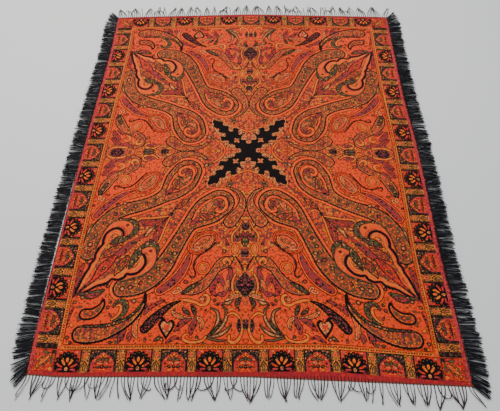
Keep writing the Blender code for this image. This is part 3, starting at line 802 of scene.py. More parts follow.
def draw_centre(cartoon):
    """The black stepped arm with its buds and the floret near its root."""
    half = [arm_place(along, out) for along, out in ARM_HALF]
    other = [arm_place(along, -out) for along, out in reversed(ARM_HALF)]
    outline = [(-5, -5), (36, -5)] + half + [arm_place(ARM_TIP, 0)] + other + [(-5, 56)]
    cartoon.add("tan", grown(outline, ARM_RIM))
    cartoon.add("black", outline)
    for along, out, radius in ARM_BUDS:
        for side in (1, -1):
            a, b = arm_place(along, out * side)
            cartoon.oval(Round("bud", a, b, radius, radius * 0.7, ARM_TURN), SMALL_STEP)
    for a, b, radius in AXIS_BUDS:
        cartoon.oval(Round("bud", a, b, radius, radius * 0.8, 0), SMALL_STEP)
    along, out, radius = ARM_FLORET
    a, b = arm_place(along, out)
    for turn in (0, 90):
        cartoon.add("tan", oval_loop(a, b, radius, radius * 0.34, ARM_TURN + turn, SMALL_STEP))
    cartoon.add("red", oval_loop(a, b, radius * 0.3, radius * 0.3, 0, SMALL_STEP))


def edge_places(on_end, centre):
    """Turns places along and in from the edge into the quarter's own."""
    def place(u, v):
        if on_end:
            return centre + u, DESIGN_LENGTH - v
        return DESIGN_WIDTH - v, centre + u
    return place


def draw_outline(cartoon, place, weave, half, size=1.0):
    """A closed outline of a border cell from half of it, drawn smaller towards its foot."""
    foot = half[0][1]
    sized = [(u * size, foot + (v - foot) * size) for u, v in half]
    whole = sized + [(-u, v) for u, v in reversed(sized)]
    cartoon.add(weave, [place(u, v) for u, v in whole])


def draw_ovals(cartoon, place, ovals):
    """The ovals of a border cell, those off its middle on both sides."""
    for weave, u, v, ru, rv, turn in ovals:
        for side in (1, -1) if u else (1,):
            loop = oval_loop(u * side, v, ru, rv, turn * side, SMALL_STEP)
            cartoon.add(weave, [place(pu, pv) for pu, pv in loop])


def draw_arch(cartoon, place):
    """A border cell with a red stepped dome and dark corners."""
    half = ARCH_HALF
    draw_outline(cartoon, place, "line", ((half, EDGE_STRIPE), (half, CELL_END)))
    draw_outline(cartoon, place, "deep", ((half - 1.6, EDGE_STRIPE), (half - 1.6, CELL_END)))
    for weave, size in (("line", 1.0), ("rose", 0.95), ("red", 0.88)):
        draw_outline(cartoon, place, weave, ARCH_DOME, size)
    draw_ovals(cartoon, place, ARCH_OVALS)


def draw_palmette(cartoon, place):
    """A border cell with a dark scalloped palmette and its radiating petals."""
    half = ARCH_HALF
    draw_outline(cartoon, place, "line", ((half, EDGE_STRIPE), (half, CELL_END)))
    draw_outline(cartoon, place, "red", ((half - 1.6, EDGE_STRIPE), (half - 1.6, CELL_END)))
    draw_outline(cartoon, place, "black", PALMETTE_BODY)
    draw_ovals(cartoon, place, PALMETTE_OVALS)


def draw_panel(cartoon, place):
    """A narrow gold panel between two border cells."""
    half = PANEL_HALF
    draw_outline(cartoon, place, "line", ((half, EDGE_STRIPE), (half, CELL_END)))
    draw_outline(cartoon, place, "panel", ((half - 1.4, EDGE_STRIPE), (half - 1.4, CELL_END)))
    for weave, size in (("line", 1.0), ("panel", 0.82)):
        draw_outline(cartoon, place, weave, PANEL_OGEE, size)
    draw_ovals(cartoon, place, PANEL_OVALS)


def draw_edge_stripes(cartoon, on_end):
    """The stripes along one edge: selvedge, border ground, guard lines and their dashes."""
    reach = DESIGN_WIDTH if on_end else DESIGN_LENGTH
    place = edge_places(on_end, 0.0)
    stripes = (
        (GUARD_END + 1.5, "line"), (GUARD_END - 1.0, "bright"), (GUARD_END - 3.6, "line"),
        (GUARD_END - 4.8, "gold"), (CELL_END + 3.0, "gold"), (CELL_END + 2.0, "line"),
        (EDGE_STRIPE, "crimson" if on_end else "rose"),
        (SELVEDGE, "heading" if on_end else "mauve"),
    )
    for depth, weave in stripes:
        cartoon.add(weave, [place(u, v) for u, v in (
            (-5, -5), (reach - depth, -5), (reach - depth, depth), (-5, depth))])
    for k in range(int((reach - GUARD_END) / GUARD_DASH)):
        dash = edge_places(on_end, (k + 0.5) * GUARD_DASH)
        draw_ovals(cartoon, dash, GUARD_OVALS)


def draw_border(cartoon):
    """The arches, palmettes and panels along both edges, and the corner block."""
    for on_end in (False, True):
        draw_edge_stripes(cartoon, on_end)
    for on_end, pitch, cells in ((True, END_PITCH, 6), (False, SIDE_PITCH, 7)):
        for k in range(cells):
            if k:
                draw_panel(cartoon, edge_places(on_end, (k - 0.5) * pitch))
            place = edge_places(on_end, k * pitch)
            if k % 2:
                draw_palmette(cartoon, place)
            else:
                draw_arch(cartoon, place)
    draw_panel(cartoon, edge_places(False, 6.5 * SIDE_PITCH))
    draw_corner(cartoon)


def draw_corner(cartoon):
    """The corner block, where the two borders meet."""
    a0, b0 = DESIGN_WIDTH - CELL_END, DESIGN_LENGTH - CELL_END
    a1, b1 = DESIGN_WIDTH - EDGE_STRIPE - 1, DESIGN_LENGTH - EDGE_STRIPE
    cartoon.box("line", a0, b0, a1, b1)
    cartoon.box("red", a0 + 2, b0 + 2, a1 - 1, b1 - 1)
    middle_a, middle_b = (a0 + a1) / 2, (b0 + b1) / 2
    for weave, u, v, ru, rv, turn in CORNER_OVALS:
        cartoon.add(weave, oval_loop(middle_a + u, middle_b + v, ru, rv, turn, SMALL_STEP))


def triangulate(points, edges):
    """A flat triangle mesh that holds every given point and edge, straight along the rim."""
    flat = [Vector(p) for p in points]
    result = delaunay_2d_cdt(flat, edges, [], 0, MERGE, False)
    corners = np.array([(v.x, v.y) for v in result[0]])
    triangles = np.array(result[2])
    slivers = np.zeros(len(triangles), bool)
    for axis, reach in ((0, DESIGN_WIDTH), (1, DESIGN_LENGTH)):
        for side in (0.0, reach):
            on_side = np.abs(corners[:, axis] - side) < 2 * MERGE
            corners[on_side, axis] = side
            slivers |= on_side[triangles].all(axis=1)
    return corners, triangles[~slivers]


def rim_points(corners):
    """The corners that lie on the quarter's four sides."""
    on_rim = (corners == 0).any(axis=1) | (corners == (DESIGN_WIDTH, DESIGN_LENGTH)).any(axis=1)
    return [tuple(corner) for corner in corners[on_rim]]


def grid_points(pitch):
    """Evenly spread points inside the quarter."""
    return [
        (a, b)
        for a in np.arange(pitch / 2, DESIGN_WIDTH, pitch)
        for b in np.arange(pitch / 2, DESIGN_LENGTH, pitch)
    ]


def weave_quarter(cartoon):
    """Triangles of the quarter, each of one weave, with edges only where the weave changes."""
    points = []
    edges = []
    outline = np.array(((0, 0), (DESIGN_WIDTH, 0), (DESIGN_WIDTH, DESIGN_LENGTH), (0, DESIGN_LENGTH)))
    for loop in [outline] + [shape for _, shape in cartoon.shapes]:
        start = len(points)
        points.extend(map(tuple, loop))
        edges.extend((start + k, start + (k + 1) % len(loop)) for k in range(len(loop)))
    corners, triangles = triangulate(points, edges)
    middles = corners[triangles].mean(axis=1)
    kept = (middles > 0).all(axis=1) & (middles < (DESIGN_WIDTH, DESIGN_LENGTH)).all(axis=1)
    triangles = triangles[kept]
    weaves = cartoon.paint(middles[kept])
    sides = np.sort(triangles[:, [0, 1, 1, 2, 2, 0]].reshape(-1, 2), axis=1)
    owners = np.repeat(np.arange(len(triangles)), 3)
    order = np.lexsort((sides[:, 1], sides[:, 0]))
    sides, owners = sides[order], owners[order]
    same = (sides[1:] == sides[:-1]).all(axis=1)
    differs = weaves[owners[1:]] != weaves[owners[:-1]]
    kept_edges = [tuple(side) for side in sides[1:][same & differs]]
    paired = np.zeros(len(sides), bool)
    paired[1:] |= same
    paired[:-1] |= same
    kept_edges += [tuple(side) for side in sides[~paired]]
    used = np.unique(np.array(kept_edges))
    number = {old: new for new, old in enumerate(used)}
    points = [tuple(corners[k]) for k in used] + grid_points(RELIEF_STEP)
    edges = [(number[i], number[j]) for i, j in kept_edges]
    corners, triangles = triangulate(points, edges)
    weaves = cartoon.paint(corners[triangles].mean(axis=1))
    return corners, triangles, weaves


def lay_mirrored(shape, layer, quarter, level):
    """Adds the quarter and its three mirror images to a mesh, flat, at one height."""
    corners, triangles, weaves = quarter
    for side, end in ((1, -1), (-1, -1), (-1, 1), (1, 1)):
        verts = [shape.verts.new((a * side, b * end, level)) for a, b in corners]
        for triangle, weave in zip(triangles, weaves):
            face = shape.faces.new([verts[k] for k in triangle])
            face[layer] = (weave + 0.5) / len(WEAVES)


def make_object(name, vertices, faces):
    """A mesh object linked to the scene."""
    mesh = bpy.data.meshes.new(name)
    mesh.from_pydata([tuple(v) for v in vertices], [], [tuple(f) for f in faces])
    mesh.update()
    piece = bpy.data.objects.new(name, mesh)
    bpy.context.scene.collection.objects.link(piece)
    return piece


def weave_cloth(settings):
    """The whole cloth as a thin shell: the woven face, its rim and its underside."""
    cartoon = Cartoon()
    draw_field(cartoon, settings.sprig_seed)
    draw_motifs(cartoon)
    draw_centre(cartoon)
    draw_border(cartoon)
    face_side = weave_quarter(cartoon)
    under, under_triangles = triangulate(rim_points(face_side[0]) + grid_points(2 * RELIEF_STEP), [])
    reverse = np.full(len(under_triangles), WEAVE_NUMBER["reverse"])
    if not len(face_side[1]) or not len(under_triangles):
        raise RuntimeError("nothing was woven")

    shape = bmesh.new()
    weave_layer = shape.faces.layers.float.new("weave")
    uv_layer = shape.loops.layers.uv.new("UVMap")
    lay_mirrored(shape, weave_layer, face_side, 1.0)
    lay_mirrored(shape, weave_layer, (under, under_triangles, reverse), 0.0)
    bmesh.ops.remove_doubles(shape, verts=shape.verts, dist=MERGE)
    rim = [edge for edge in shape.edges if edge.is_boundary and edge.verts[0].co.z > 0.5]
    wall = bmesh.ops.extrude_edge_only(shape, edges=rim)
    for part in wall["geom"]:
        if isinstance(part, bmesh.types.BMVert):
            part.co.z = 0.0
    bmesh.ops.remove_doubles(shape, verts=shape.verts, dist=MERGE)
    for face in shape.faces:
        for loop in face.loops:
            loop[uv_layer].uv = (loop.vert.co.x * MM, loop.vert.co.y * MM)
    flat = np.array([tuple(v.co) for v in shape.verts])
    s, t = flat[:, 0] / DESIGN_WIDTH, flat[:, 1] / DESIGN_LENGTH
    x, y = cloth_place(s, t)
    z = fold_height(x, y, s, t) + flat[:, 2] * settings.thickness
    for vert, place in zip(shape.verts, zip(x, y, z)):
        vert.co = place
    bmesh.ops.recalc_face_normals(shape, faces=shape.faces)
    piece = make_object("woven_cloth", [], [])
    shape.to_mesh(piece.data)
    shape.free()
    piece.data.shade_smooth()
    piece.data.set_sharp_from_angle(angle=math.radians(60))
    return piece


def linear(color):
    """A colour as the eye reads it, from 0 to 255, in Blender's linear values."""
    return tuple(
        (c / 255 / 12.92) if c <= 10 else ((c / 255 + 0.055) / 1.055) ** 2.4 for c in color
    )


def bezier(corners, count):
    """Points along a curve drawn by four corners."""
    p0, p1, p2, p3 = corners
    ways = [k / (count - 1) for k in range(count)]
    return [p0 * (1 - t)**3 + p1 * 3 * t * (1 - t)**2 + p2 * 3 * t * t * (1 - t) + p3 * t**3 for t in ways]


def edge_place(row, along):
    """The place at the cloth's edge where a strand of a fringe leaves it; along is -1 to 1."""
    s, t = (row.side, along) if row.axis == 0 else (along, row.side)
    x, y = cloth_place(np.array(s, float), np.array(t, float))
    place = Vector((float(x), float(y), 0.0))
    place[row.axis] += row.side * ROOT_GAP
    return place


def side_guides(settings, row):
    """The way of each dark lock along a side: outwards, and fanned out at the corners."""
    rng = random.Random(settings.fringe_seed + row.side)
    count = int(2 * HALF_LENGTH / LOCK_PITCH)
    drift = [rng.uniform(-1, 1) for _ in range(count // 4 + 3)]
    guides = []
    for k in range(count):
        along = (k + 0.5) / count * 2 - 1
        place = k / 4
        lean = drift[int(place)] + (drift[int(place) + 1] - drift[int(place)]) * (place % 1)
        to_corner = (1 - abs(along)) * HALF_LENGTH
        fan = math.copysign(FAN_TURN * max(1 - to_corner / FAN_REACH, 0), along)
        turn = math.radians(-3 + 11 * lean + rng.uniform(-4, 4) + fan)
        out = Vector((row.side * math.cos(turn), math.sin(turn), 0))
        aside = Vector((0, 1, 0))
        reach = settings.side_length * rng.uniform(0.86, 1.0)
        root = edge_place(row, along)
        root.z = SIDE_ROOT_HEIGHT
        middle = root + out * reach * 0.35 + Vector((0, 0, rng.uniform(0.001, 0.003)))
        bend = middle + out * reach * 0.35 + aside * rng.uniform(-0.003, 0.003)
        tip = root + out * reach + aside * rng.uniform(-0.003, 0.003)
        tip.z = rng.uniform(0.0012, 0.0026)
        guides.append(bezier((root, middle, bend, tip), PATH_POINTS - 3))
    return guides


def end_guides(settings, row):
    """The way of each thin strand at an end: roots in a row, tips drawn together in groups."""
    rng = random.Random(settings.fringe_seed + 10 + row.side)
    count = int(2 * HALF_WIDTH / STRAND_PITCH)
    out = Vector((0, row.side, 0))
    aside = Vector((1, 0, 0))
    guides = []
    first = 0
    while first < count:
        size = min(rng.choice(GROUP_SIZES), count - first)
        roots = [edge_place(row, (first + k + 0.5) / count * 2 - 1) for k in range(size)]
        first += size
        middle = sum(roots, Vector()) / size
        at_edge = max(abs(middle.x) - HALF_WIDTH + SPLAY_REACH, 0) / SPLAY_REACH
        lean = rng.uniform(-0.014, 0.014) + math.copysign(SPLAY_SHIFT * at_edge, middle.x)
        reach = settings.end_length * rng.uniform(0.84, 1.0)
        gathered = middle + out * reach + aside * lean
        for root in roots:
            root.z = END_ROOT_HEIGHT
            tip = gathered + aside * rng.uniform(-0.004, 0.004) + out * rng.uniform(-0.006, 0.006)
            drop = out * reach * rng.uniform(0.35, 0.6)
            bow = aside * rng.uniform(-0.006, 0.006)
            approach = tip - out * reach * 0.3 + (root - middle) * 0.45 + bow
            if rng.random() < CURL_SHARE:
                swing = rng.choice((-1, 1)) * rng.uniform(0.018, 0.042)
                drop = out * reach * 0.7
                approach = root + drop + aside * swing * 1.5
                tip = root + out * reach * rng.uniform(0.1, 0.6) + aside * swing
            lift = Vector((0, 0, rng.uniform(0.0, 0.0035)))
            path = bezier((root, root + drop + lift, approach + lift, tip), PATH_POINTS)
            for point in path:
                point.z = max(point.z, END_LOW_HEIGHT)
            guides.append(path)
    return guides


class Tree:
    """Adds and joins the nodes of one geometry tree, with named inputs."""

    def __init__(self, name, inputs):
        self.tree = bpy.data.node_groups.new(name, "GeometryNodeTree")
        self.tree.interface.new_socket("Geometry", in_out="OUTPUT", socket_type="NodeSocketGeometry")
        self.keys = {}
        for title, kind in (("Geometry", "NodeSocketGeometry"), *inputs):
            socket = self.tree.interface.new_socket(title, in_out="INPUT", socket_type=kind)
            self.keys[title] = socket.identifier
        self.given = self.tree.nodes.new("NodeGroupInput").outputs
        self.result = self.tree.nodes.new("NodeGroupOutput").inputs

    def add(self, kind, links=(), **values):
        node = self.tree.nodes.new(kind)
        for name, value in values.items():
            setattr(node, name, value)
        for socket, source in links:
            if isinstance(source, bpy.types.NodeSocket):
                self.tree.links.new(source, node.inputs[socket])
            else:
                node.inputs[socket].default_value = source
        return node.outputs

    def math(self, operation, first, second=0.0):
        return self.add("ShaderNodeMath", ((0, first), (1, second)), operation=operation)[0]

    def chance(self, low, high, number, seed):
        """A number from low to high for each spline."""
        links = ((2, low), (3, high), ("ID", number), ("Seed", seed))
        return self.add("FunctionNodeRandomValue", links, data_type="FLOAT")[1]


def yarn_tree():
    """Turns each guide line into a bundle of round yarns, a little apart and uneven in length."""
    bench = Tree("yarn bundles", (
        ("Yarns", "NodeSocketInt"), ("Spread", "NodeSocketFloat"), ("Wiggle", "NodeSocketFloat"),
        ("Yarn Radius", "NodeSocketFloat"), ("Sides", "NodeSocketInt"), ("Seed", "NodeSocketInt"),
        ("Material", "NodeSocketMaterial"),
    ))
    given = bench.given
    seed = given["Seed"]
    curve = bench.add("GeometryNodeMeshToCurve", ((0, given["Geometry"]),))[0]
    links = (("Geometry", curve), ("Amount", given["Yarns"]))
    bundle = bench.add("GeometryNodeDuplicateElements", links, domain="SPLINE")[0]
    index = bench.add("GeometryNodeInputIndex")[0]
    links = (("Geometry", bundle), ("Value", index), ("Name", "strand"))
    bundle = bench.add("GeometryNodeStoreNamedAttribute", links, data_type="INT", domain="CURVE")[0]
    strand = bench.add("GeometryNodeInputNamedAttribute", (("Name", "strand"),), data_type="INT")[0]

    cut = bench.chance(0.84, 1.0, strand, seed)
    bundle = bench.add("GeometryNodeTrimCurve", ((0, bundle), (3, cut)), mode="FACTOR")[0]
    factor = bench.add("GeometryNodeSplineParameter")[0]
    links = ((0, (-1.0, -1.0, 0.0)), (1, (1.0, 1.0, 0.9)), ("ID", strand), ("Seed", seed))
    aside = bench.add("FunctionNodeRandomValue", links, data_type="FLOAT_VECTOR")[0]
    opened = bench.math("MULTIPLY_ADD", factor, 0.2)
    opened.node.inputs[2].default_value = 0.95
    opened = bench.math("MULTIPLY", opened, given["Spread"])
    aside = bench.add("ShaderNodeVectorMath", ((0, aside), (3, opened)), operation="SCALE")[0]

    place = bench.add("GeometryNodeInputPosition")[0]
    shifted = bench.math("MULTIPLY", strand, 0.37)
    links = (("Vector", place), ("W", shifted), ("Scale", 38.0), ("Detail", 0.0))
    noise = bench.add("ShaderNodeTexNoise", links, noise_dimensions="4D")[1]
    noise = bench.add("ShaderNodeVectorMath", ((0, noise), (1, (0.5, 0.5, 0.1))), operation="SUBTRACT")[0]
    swayed = bench.math("MULTIPLY", factor, given["Wiggle"])
    noise = bench.add("ShaderNodeVectorMath", ((0, noise), (3, swayed)), operation="SCALE")[0]
    moved = bench.add("ShaderNodeVectorMath", ((0, aside), (1, noise)), operation="ADD")[0]
    bundle = bench.add("GeometryNodeSetPosition", (("Geometry", bundle), ("Offset", moved)))[0]

    size = bench.chance(0.8, 1.15, strand, seed)
    size = bench.math("MULTIPLY", size, given["Yarn Radius"])
    ring = bench.add("GeometryNodeCurvePrimitiveCircle", (("Resolution", given["Sides"]), (4, 1.0)))[0]
    links = ((0, bundle), (1, ring), (2, size), (3, True))
    yarns = bench.add("GeometryNodeCurveToMesh", links)[0]
    tone = bench.chance(0.0, 1.0, strand, seed)
    links = (("Geometry", yarns), ("Value", tone), ("Name", "tone"))
    yarns = bench.add("GeometryNodeStoreNamedAttribute", links, data_type="FLOAT", domain="POINT")[0]
    yarns = bench.add("GeometryNodeSetShadeSmooth", (("Geometry", yarns),))[0]
    yarns = bench.add("GeometryNodeRealizeInstances", (("Geometry", yarns),))[0]
    yarns = bench.add("GeometryNodeSetMaterial", ((0, yarns), (2, given["Material"])))[0]
    bench.tree.links.new(yarns, bench.result[0])
    return bench


def grow_fringe(row, guides, bench, values):
    """One fringe as a plain mesh, made by the yarn tree from its guide lines."""
    points = [point for guide in guides for point in guide]
    edges = []
    start = 0
    for guide in guides:
        edges += [(start + k, start + k + 1) for k in range(len(guide) - 1)]
        start += len(guide)
    lines = bpy.data.meshes.new("guides")
    lines.from_pydata([tuple(point) for point in points], edges, [])
    guide_piece = bpy.data.objects.new("guides", lines)
    bpy.context.scene.collection.objects.link(guide_piece)
    modifier = guide_piece.modifiers.new("yarns", "NODES")
    modifier.node_group = bench.tree
    for title, value in values.items():
        modifier[bench.keys[title]] = value
    graph = bpy.context.evaluated_depsgraph_get()
    mesh = bpy.data.meshes.new_from_object(guide_piece.evaluated_get(graph), depsgraph=graph)
    bpy.data.objects.remove(guide_piece)
    mesh.name = f"{row.node}_wool"
    if not mesh.polygons:
        raise RuntimeError(f"{row.node} has no yarns")
    piece = bpy.data.objects.new(f"{row.node}_wool", mesh)
    bpy.context.scene.collection.objects.link(piece)
    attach(piece, BODY)
    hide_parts(row.node)
    return piece


class NodeBench:
    """Adds and joins the nodes of one material."""

    def __init__(self, name):
        self.material = bpy.data.materials.new(name)
        self.material.use_nodes = True
        self.tree = self.material.node_tree
        self.shader = self.tree.nodes["Principled BSDF"]

    def add(self, kind, **values):
        node = self.tree.nodes.new(kind)
        for name, value in values.items():
            setattr(node, name, value)
        return node

    def join(self, source, target):
        self.tree.links.new(source, target)

    def math(self, operation, first, second=None):
        node = self.add("ShaderNodeMath", operation=operation)
        for k, value in enumerate((first, second)):
            if value is None:
                continue
            if isinstance(value, (int, float)):
                node.inputs[k].default_value = value
            else:
                self.join(value, node.inputs[k])
        return node.outputs[0]

    def steps(self, source, values):
        """A ramp with one flat step for each weave."""
        ramp = self.add("ShaderNodeValToRGB")
        ramp.color_ramp.interpolation = "CONSTANT"
        stops = ramp.color_ramp.elements
        for k, value in enumerate(values):
            stop = stops[k] if k < 2 else stops.new(k / len(values))
            stop.position = k / len(values)
            stop.color = (*value, 1.0) if len(value) == 3 else value
        self.join(source, ramp.inputs[0])
        return ramp.outputs[0]

    def mix(self, factor, first, second, blend="MIX"):
        node = self.add("ShaderNodeMix", data_type="RGBA", blend_type=blend)
        for socket, value in ((node.inputs[0], factor), (node.inputs[6], first), (node.inputs[7], second)):
            if isinstance(value, (int, float)):
                socket.default_value = value
            elif isinstance(value, tuple):
                socket.default_value = (*value, 1.0)
            else:
                self.join(value, socket)
        return node.outputs[2]


def cloth_material(settings):
    """Twill wool: two yarns mixed stitch by stitch in each weave, and small rimmed florets."""
    bench = NodeBench("woven cloth")
    yarn = {name: tuple(getattr(settings, f"yarn_{name}")) for name in YARNS}
    attribute = bench.add("ShaderNodeAttribute", attribute_name="weave")
    weave = attribute.outputs["Fac"]
    flat = bench.add("ShaderNodeUVMap", uv_map="UVMap").outputs[0]

    main = bench.steps(weave, [yarn[w.main] for w in WEAVES])
    speck = bench.steps(weave, [yarn[w.speck] for w in WEAVES])
    florets = [bench.steps(weave, [yarn[w.florets[k]] for w in WEAVES]) for k in (0, 1)]
    share = bench.steps(weave, [(w.share,) * 3 for w in WEAVES])
    size = bench.steps(weave, [(w.size,) * 3 for w in WEAVES])

    cells = bench.add("ShaderNodeVectorMath", operation="SCALE")
    bench.join(flat, cells.inputs[0])
    cells.inputs[3].default_value = 1 / settings.stitch
    stitch = bench.add("ShaderNodeVectorMath", operation="FLOOR")
    bench.join(cells.outputs[0], stitch.inputs[0])
    chance = bench.add("ShaderNodeTexWhiteNoise", noise_dimensions="2D")
    bench.join(stitch.outputs[0], chance.inputs["Vector"])
    mirrored = bench.add("ShaderNodeVectorMath", operation="ABSOLUTE")
    bench.join(flat, mirrored.inputs[0])
    clump = bench.add("ShaderNodeTexNoise", noise_dimensions="2D")
    bench.join(mirrored.outputs[0], clump.inputs["Vector"])
    clump.inputs["Scale"].default_value = 110.0
    clump.inputs["Detail"].default_value = 1.0
    uneven = bench.math("MULTIPLY_ADD", clump.outputs["Fac"], 2.4)
    uneven.node.inputs[2].default_value = -1.2
    level = bench.math("ADD", share, uneven)
    picked = bench.math("LESS_THAN", chance.outputs["Value"], level)
    color = bench.mix(picked, main, speck)

    wander = bench.add("ShaderNodeVectorMath", operation="SCALE")
    bench.join(clump.outputs["Color"], wander.inputs[0])
    wander.inputs[3].default_value = settings.floret_pitch * 0.9
    strewn_place = bench.add("ShaderNodeVectorMath", operation="ADD")
    bench.join(mirrored.outputs[0], strewn_place.inputs[0])
    bench.join(wander.outputs[0], strewn_place.inputs[1])
    strewn = bench.add("ShaderNodeTexVoronoi", voronoi_dimensions="2D", feature="F1")
    bench.join(strewn_place.outputs[0], strewn.inputs["Vector"])
    strewn.inputs["Scale"].default_value = 1 / settings.floret_pitch
    kind = bench.add("ShaderNodeSeparateColor")
    bench.join(strewn.outputs["Color"], kind.inputs[0])
    floret = bench.mix(bench.math("GREATER_THAN", kind.outputs[0], 0.5), *florets)
    there = bench.math("GREATER_THAN", kind.outputs[1], 0.22)
    there = bench.math("MULTIPLY", there, bench.math("GREATER_THAN", size, 0.02))
    rim = bench.math("LESS_THAN", strewn.outputs["Distance"], bench.math("ADD", size, 0.13))
    heart = bench.math("LESS_THAN", strewn.outputs["Distance"], size)
    color = bench.mix(bench.math("MULTIPLY", rim, bench.math("MULTIPLY", there, 0.85)), color, yarn["dark"])
    color = bench.mix(bench.math("MULTIPLY", heart, there), color, floret)

    tone = bench.add("ShaderNodeTexNoise", noise_dimensions="2D")
    bench.join(flat, tone.inputs["Vector"])
    tone.inputs["Scale"].default_value = 3.0
    shade = bench.add("ShaderNodeMapRange")
    bench.join(tone.outputs["Fac"], shade.inputs["Value"])
    shade.inputs["To Min"].default_value = 0.84
    shade.inputs["To Max"].default_value = 1.14
    color = bench.mix(1.0, color, shade.outputs[0], "MULTIPLY")
    bench.join(color, bench.shader.inputs["Base Color"])

    twill = bench.add("ShaderNodeTexWave", wave_type="BANDS", bands_direction="DIAGONAL")
    bench.join(flat, twill.inputs["Vector"])
    twill.inputs["Scale"].default_value = 0.25 / settings.stitch
    raised = bench.math("ADD", twill.outputs["Fac"], chance.outputs["Value"])
    bump = bench.add("ShaderNodeBump")
    bump.inputs["Strength"].default_value = 0.6
    bump.inputs["Distance"].default_value = 0.0006
    bench.join(raised, bump.inputs["Height"])
    bench.join(bump.outputs[0], bench.shader.inputs["Normal"])
    bench.shader.inputs["Roughness"].default_value = 0.92
    bench.shader.inputs["Specular IOR Level"].default_value = 0.18
    bench.shader.inputs["Sheen Weight"].default_value = 0.08
    bench.shader.inputs["Sheen Roughness"].default_value = 0.45
    bench.shader.inputs["Sheen Tint"].default_value = (1.0, 0.78, 0.66, 1.0)
    return bench.material


def fringe_material(name, deep, pale, roughness):
    """Plied wool between two tones, each yarn with a tone of its own."""
    bench = NodeBench(name)
    tone = bench.add("ShaderNodeAttribute", attribute_name="tone").outputs["Fac"]
    bench.join(bench.mix(tone, tuple(deep), tuple(pale)), bench.shader.inputs["Base Color"])
    place = bench.add("ShaderNodeTexCoord").outputs["Object"]
    twist = bench.add("ShaderNodeTexNoise")
    bench.join(place, twist.inputs["Vector"])
    twist.inputs["Scale"].default_value = 900.0
    bump = bench.add("ShaderNodeBump")
    bump.inputs["Strength"].default_value = 0.5
    bump.inputs["Distance"].default_value = 0.0006
    bench.join(twist.outputs["Fac"], bump.inputs["Height"])
    bench.join(bump.outputs[0], bench.shader.inputs["Normal"])
    bench.shader.inputs["Roughness"].default_value = roughness
    bench.shader.inputs["Specular IOR Level"].default_value = 0.3
    return bench.material


def yarn_property(name, color):
    """A colour setting for one yarn."""
    return FloatVectorProperty(
        name=f"{name} yarn",
        description=f"Colour of the {name.lower()} yarn",
        subtype="COLOR",
        size=3,
        min=0.0,
        max=1.0,
        default=linear(color),
    )


def fringe_pieces():
    """The fringes that have been made."""
    names = [f"{row.node}_wool" for row in (*SIDE_FRINGES, *END_FRINGES)]
    return [bpy.data.objects[name] for name in names if name in bpy.data.objects]


class ShawlClothSettings(bpy.types.PropertyGroup):
    """Sizes and yarn colours of the woven cloth."""

    thickness: FloatProperty(
        name="Thickness", description="Thickness of the cloth", default=0.002,
        min=0.001, max=0.003, unit="LENGTH",
    )
    stitch: FloatProperty(
        name="Stitch", description="Width of one woven stitch", default=0.0021,
        min=0.0005, max=0.005, unit="LENGTH",
    )
    floret_pitch: FloatProperty(
        name="Floret pitch", description="Spacing of the small strewn florets", default=0.0112,
        min=0.004, max=0.03, unit="LENGTH",
    )
    sprig_seed: IntProperty(
        name="Sprig seed", description="Seed of the field's scattered sprigs", default=7, min=0,
    )
    yarn_orange: yarn_property("Orange", (249, 72, 24))
    yarn_red: yarn_property("Red", (200, 42, 32))
    yarn_peach: yarn_property("Peach", (249, 138, 76))
    yarn_gold: yarn_property("Gold", (236, 130, 40))
    yarn_brown: yarn_property("Brown", (112, 70, 48))
    yarn_olive: yarn_property("Olive", (98, 86, 52))
    yarn_mauve: yarn_property("Mauve", (126, 62, 62))
    yarn_rose: yarn_property("Rose", (196, 66, 66))
    yarn_green: yarn_property("Green", (58, 56, 42))
    yarn_crimson: yarn_property("Crimson", (156, 36, 44))
    yarn_dark: yarn_property("Dark", (30, 15, 15))
    yarn_black: yarn_property("Black", (13, 5, 7))


class ShawlFringeSettings(bpy.types.PropertyGroup):
    """Sizes of the fringes."""

    side_length: FloatProperty(
        name="Side fringe", description="Length of the fringe along the sides", default=0.058,
        min=0.02, max=0.12, unit="LENGTH",
    )
    end_length: FloatProperty(
        name="End fringe", description="Length of the fringe at the ends", default=0.074,
        min=0.02, max=0.15, unit="LENGTH",
    )
    yarn_radius: FloatProperty(
        name="Yarn radius", description="Radius of one fringe yarn", default=0.0009,
        min=0.0003, max=0.003, unit="LENGTH",
    )
    side_deep: yarn_property("Deep side", (6, 5, 9))
    # Random tone per yarn, and partly painted highlight: the paler blue-grey yarns stand in for light on
    # the dark wool
    side_pale_highlight: yarn_property("Pale side", (26, 24, 34))
    end_deep: yarn_property("Deep end", (30, 14, 16))
    end_pale: yarn_property("Pale end", (64, 34, 34))
    fringe_seed: IntProperty(
        name="Seed", description="Seed of the way the strands lie", default=5, min=0,
    )


class ShawlStageSettings(bpy.types.PropertyGroup):
    """The floor, lights and camera."""

    floor_size: FloatProperty(
        name="Floor", description="Width of the square floor", default=9.0, min=3.0, unit="LENGTH",
    )
    focal_length: FloatProperty(
        name="Focal length", description="Focal length of the camera in millimetres",
        default=33.75, min=10.0, max=200.0,
    )


class SHAWL_OT_cloth(bpy.types.Operator):
    """Weave the cloth over its solid"""

    bl_idname = "shawl.cloth"
    bl_label = "Weave Cloth"

    def execute(self, context):
        settings = context.scene.shawl_cloth
        piece = weave_cloth(settings)
        piece.data.materials.append(cloth_material(settings))
        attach(piece, BODY)
        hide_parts("cloth")
        fringe_pieces()
        return {"FINISHED"}


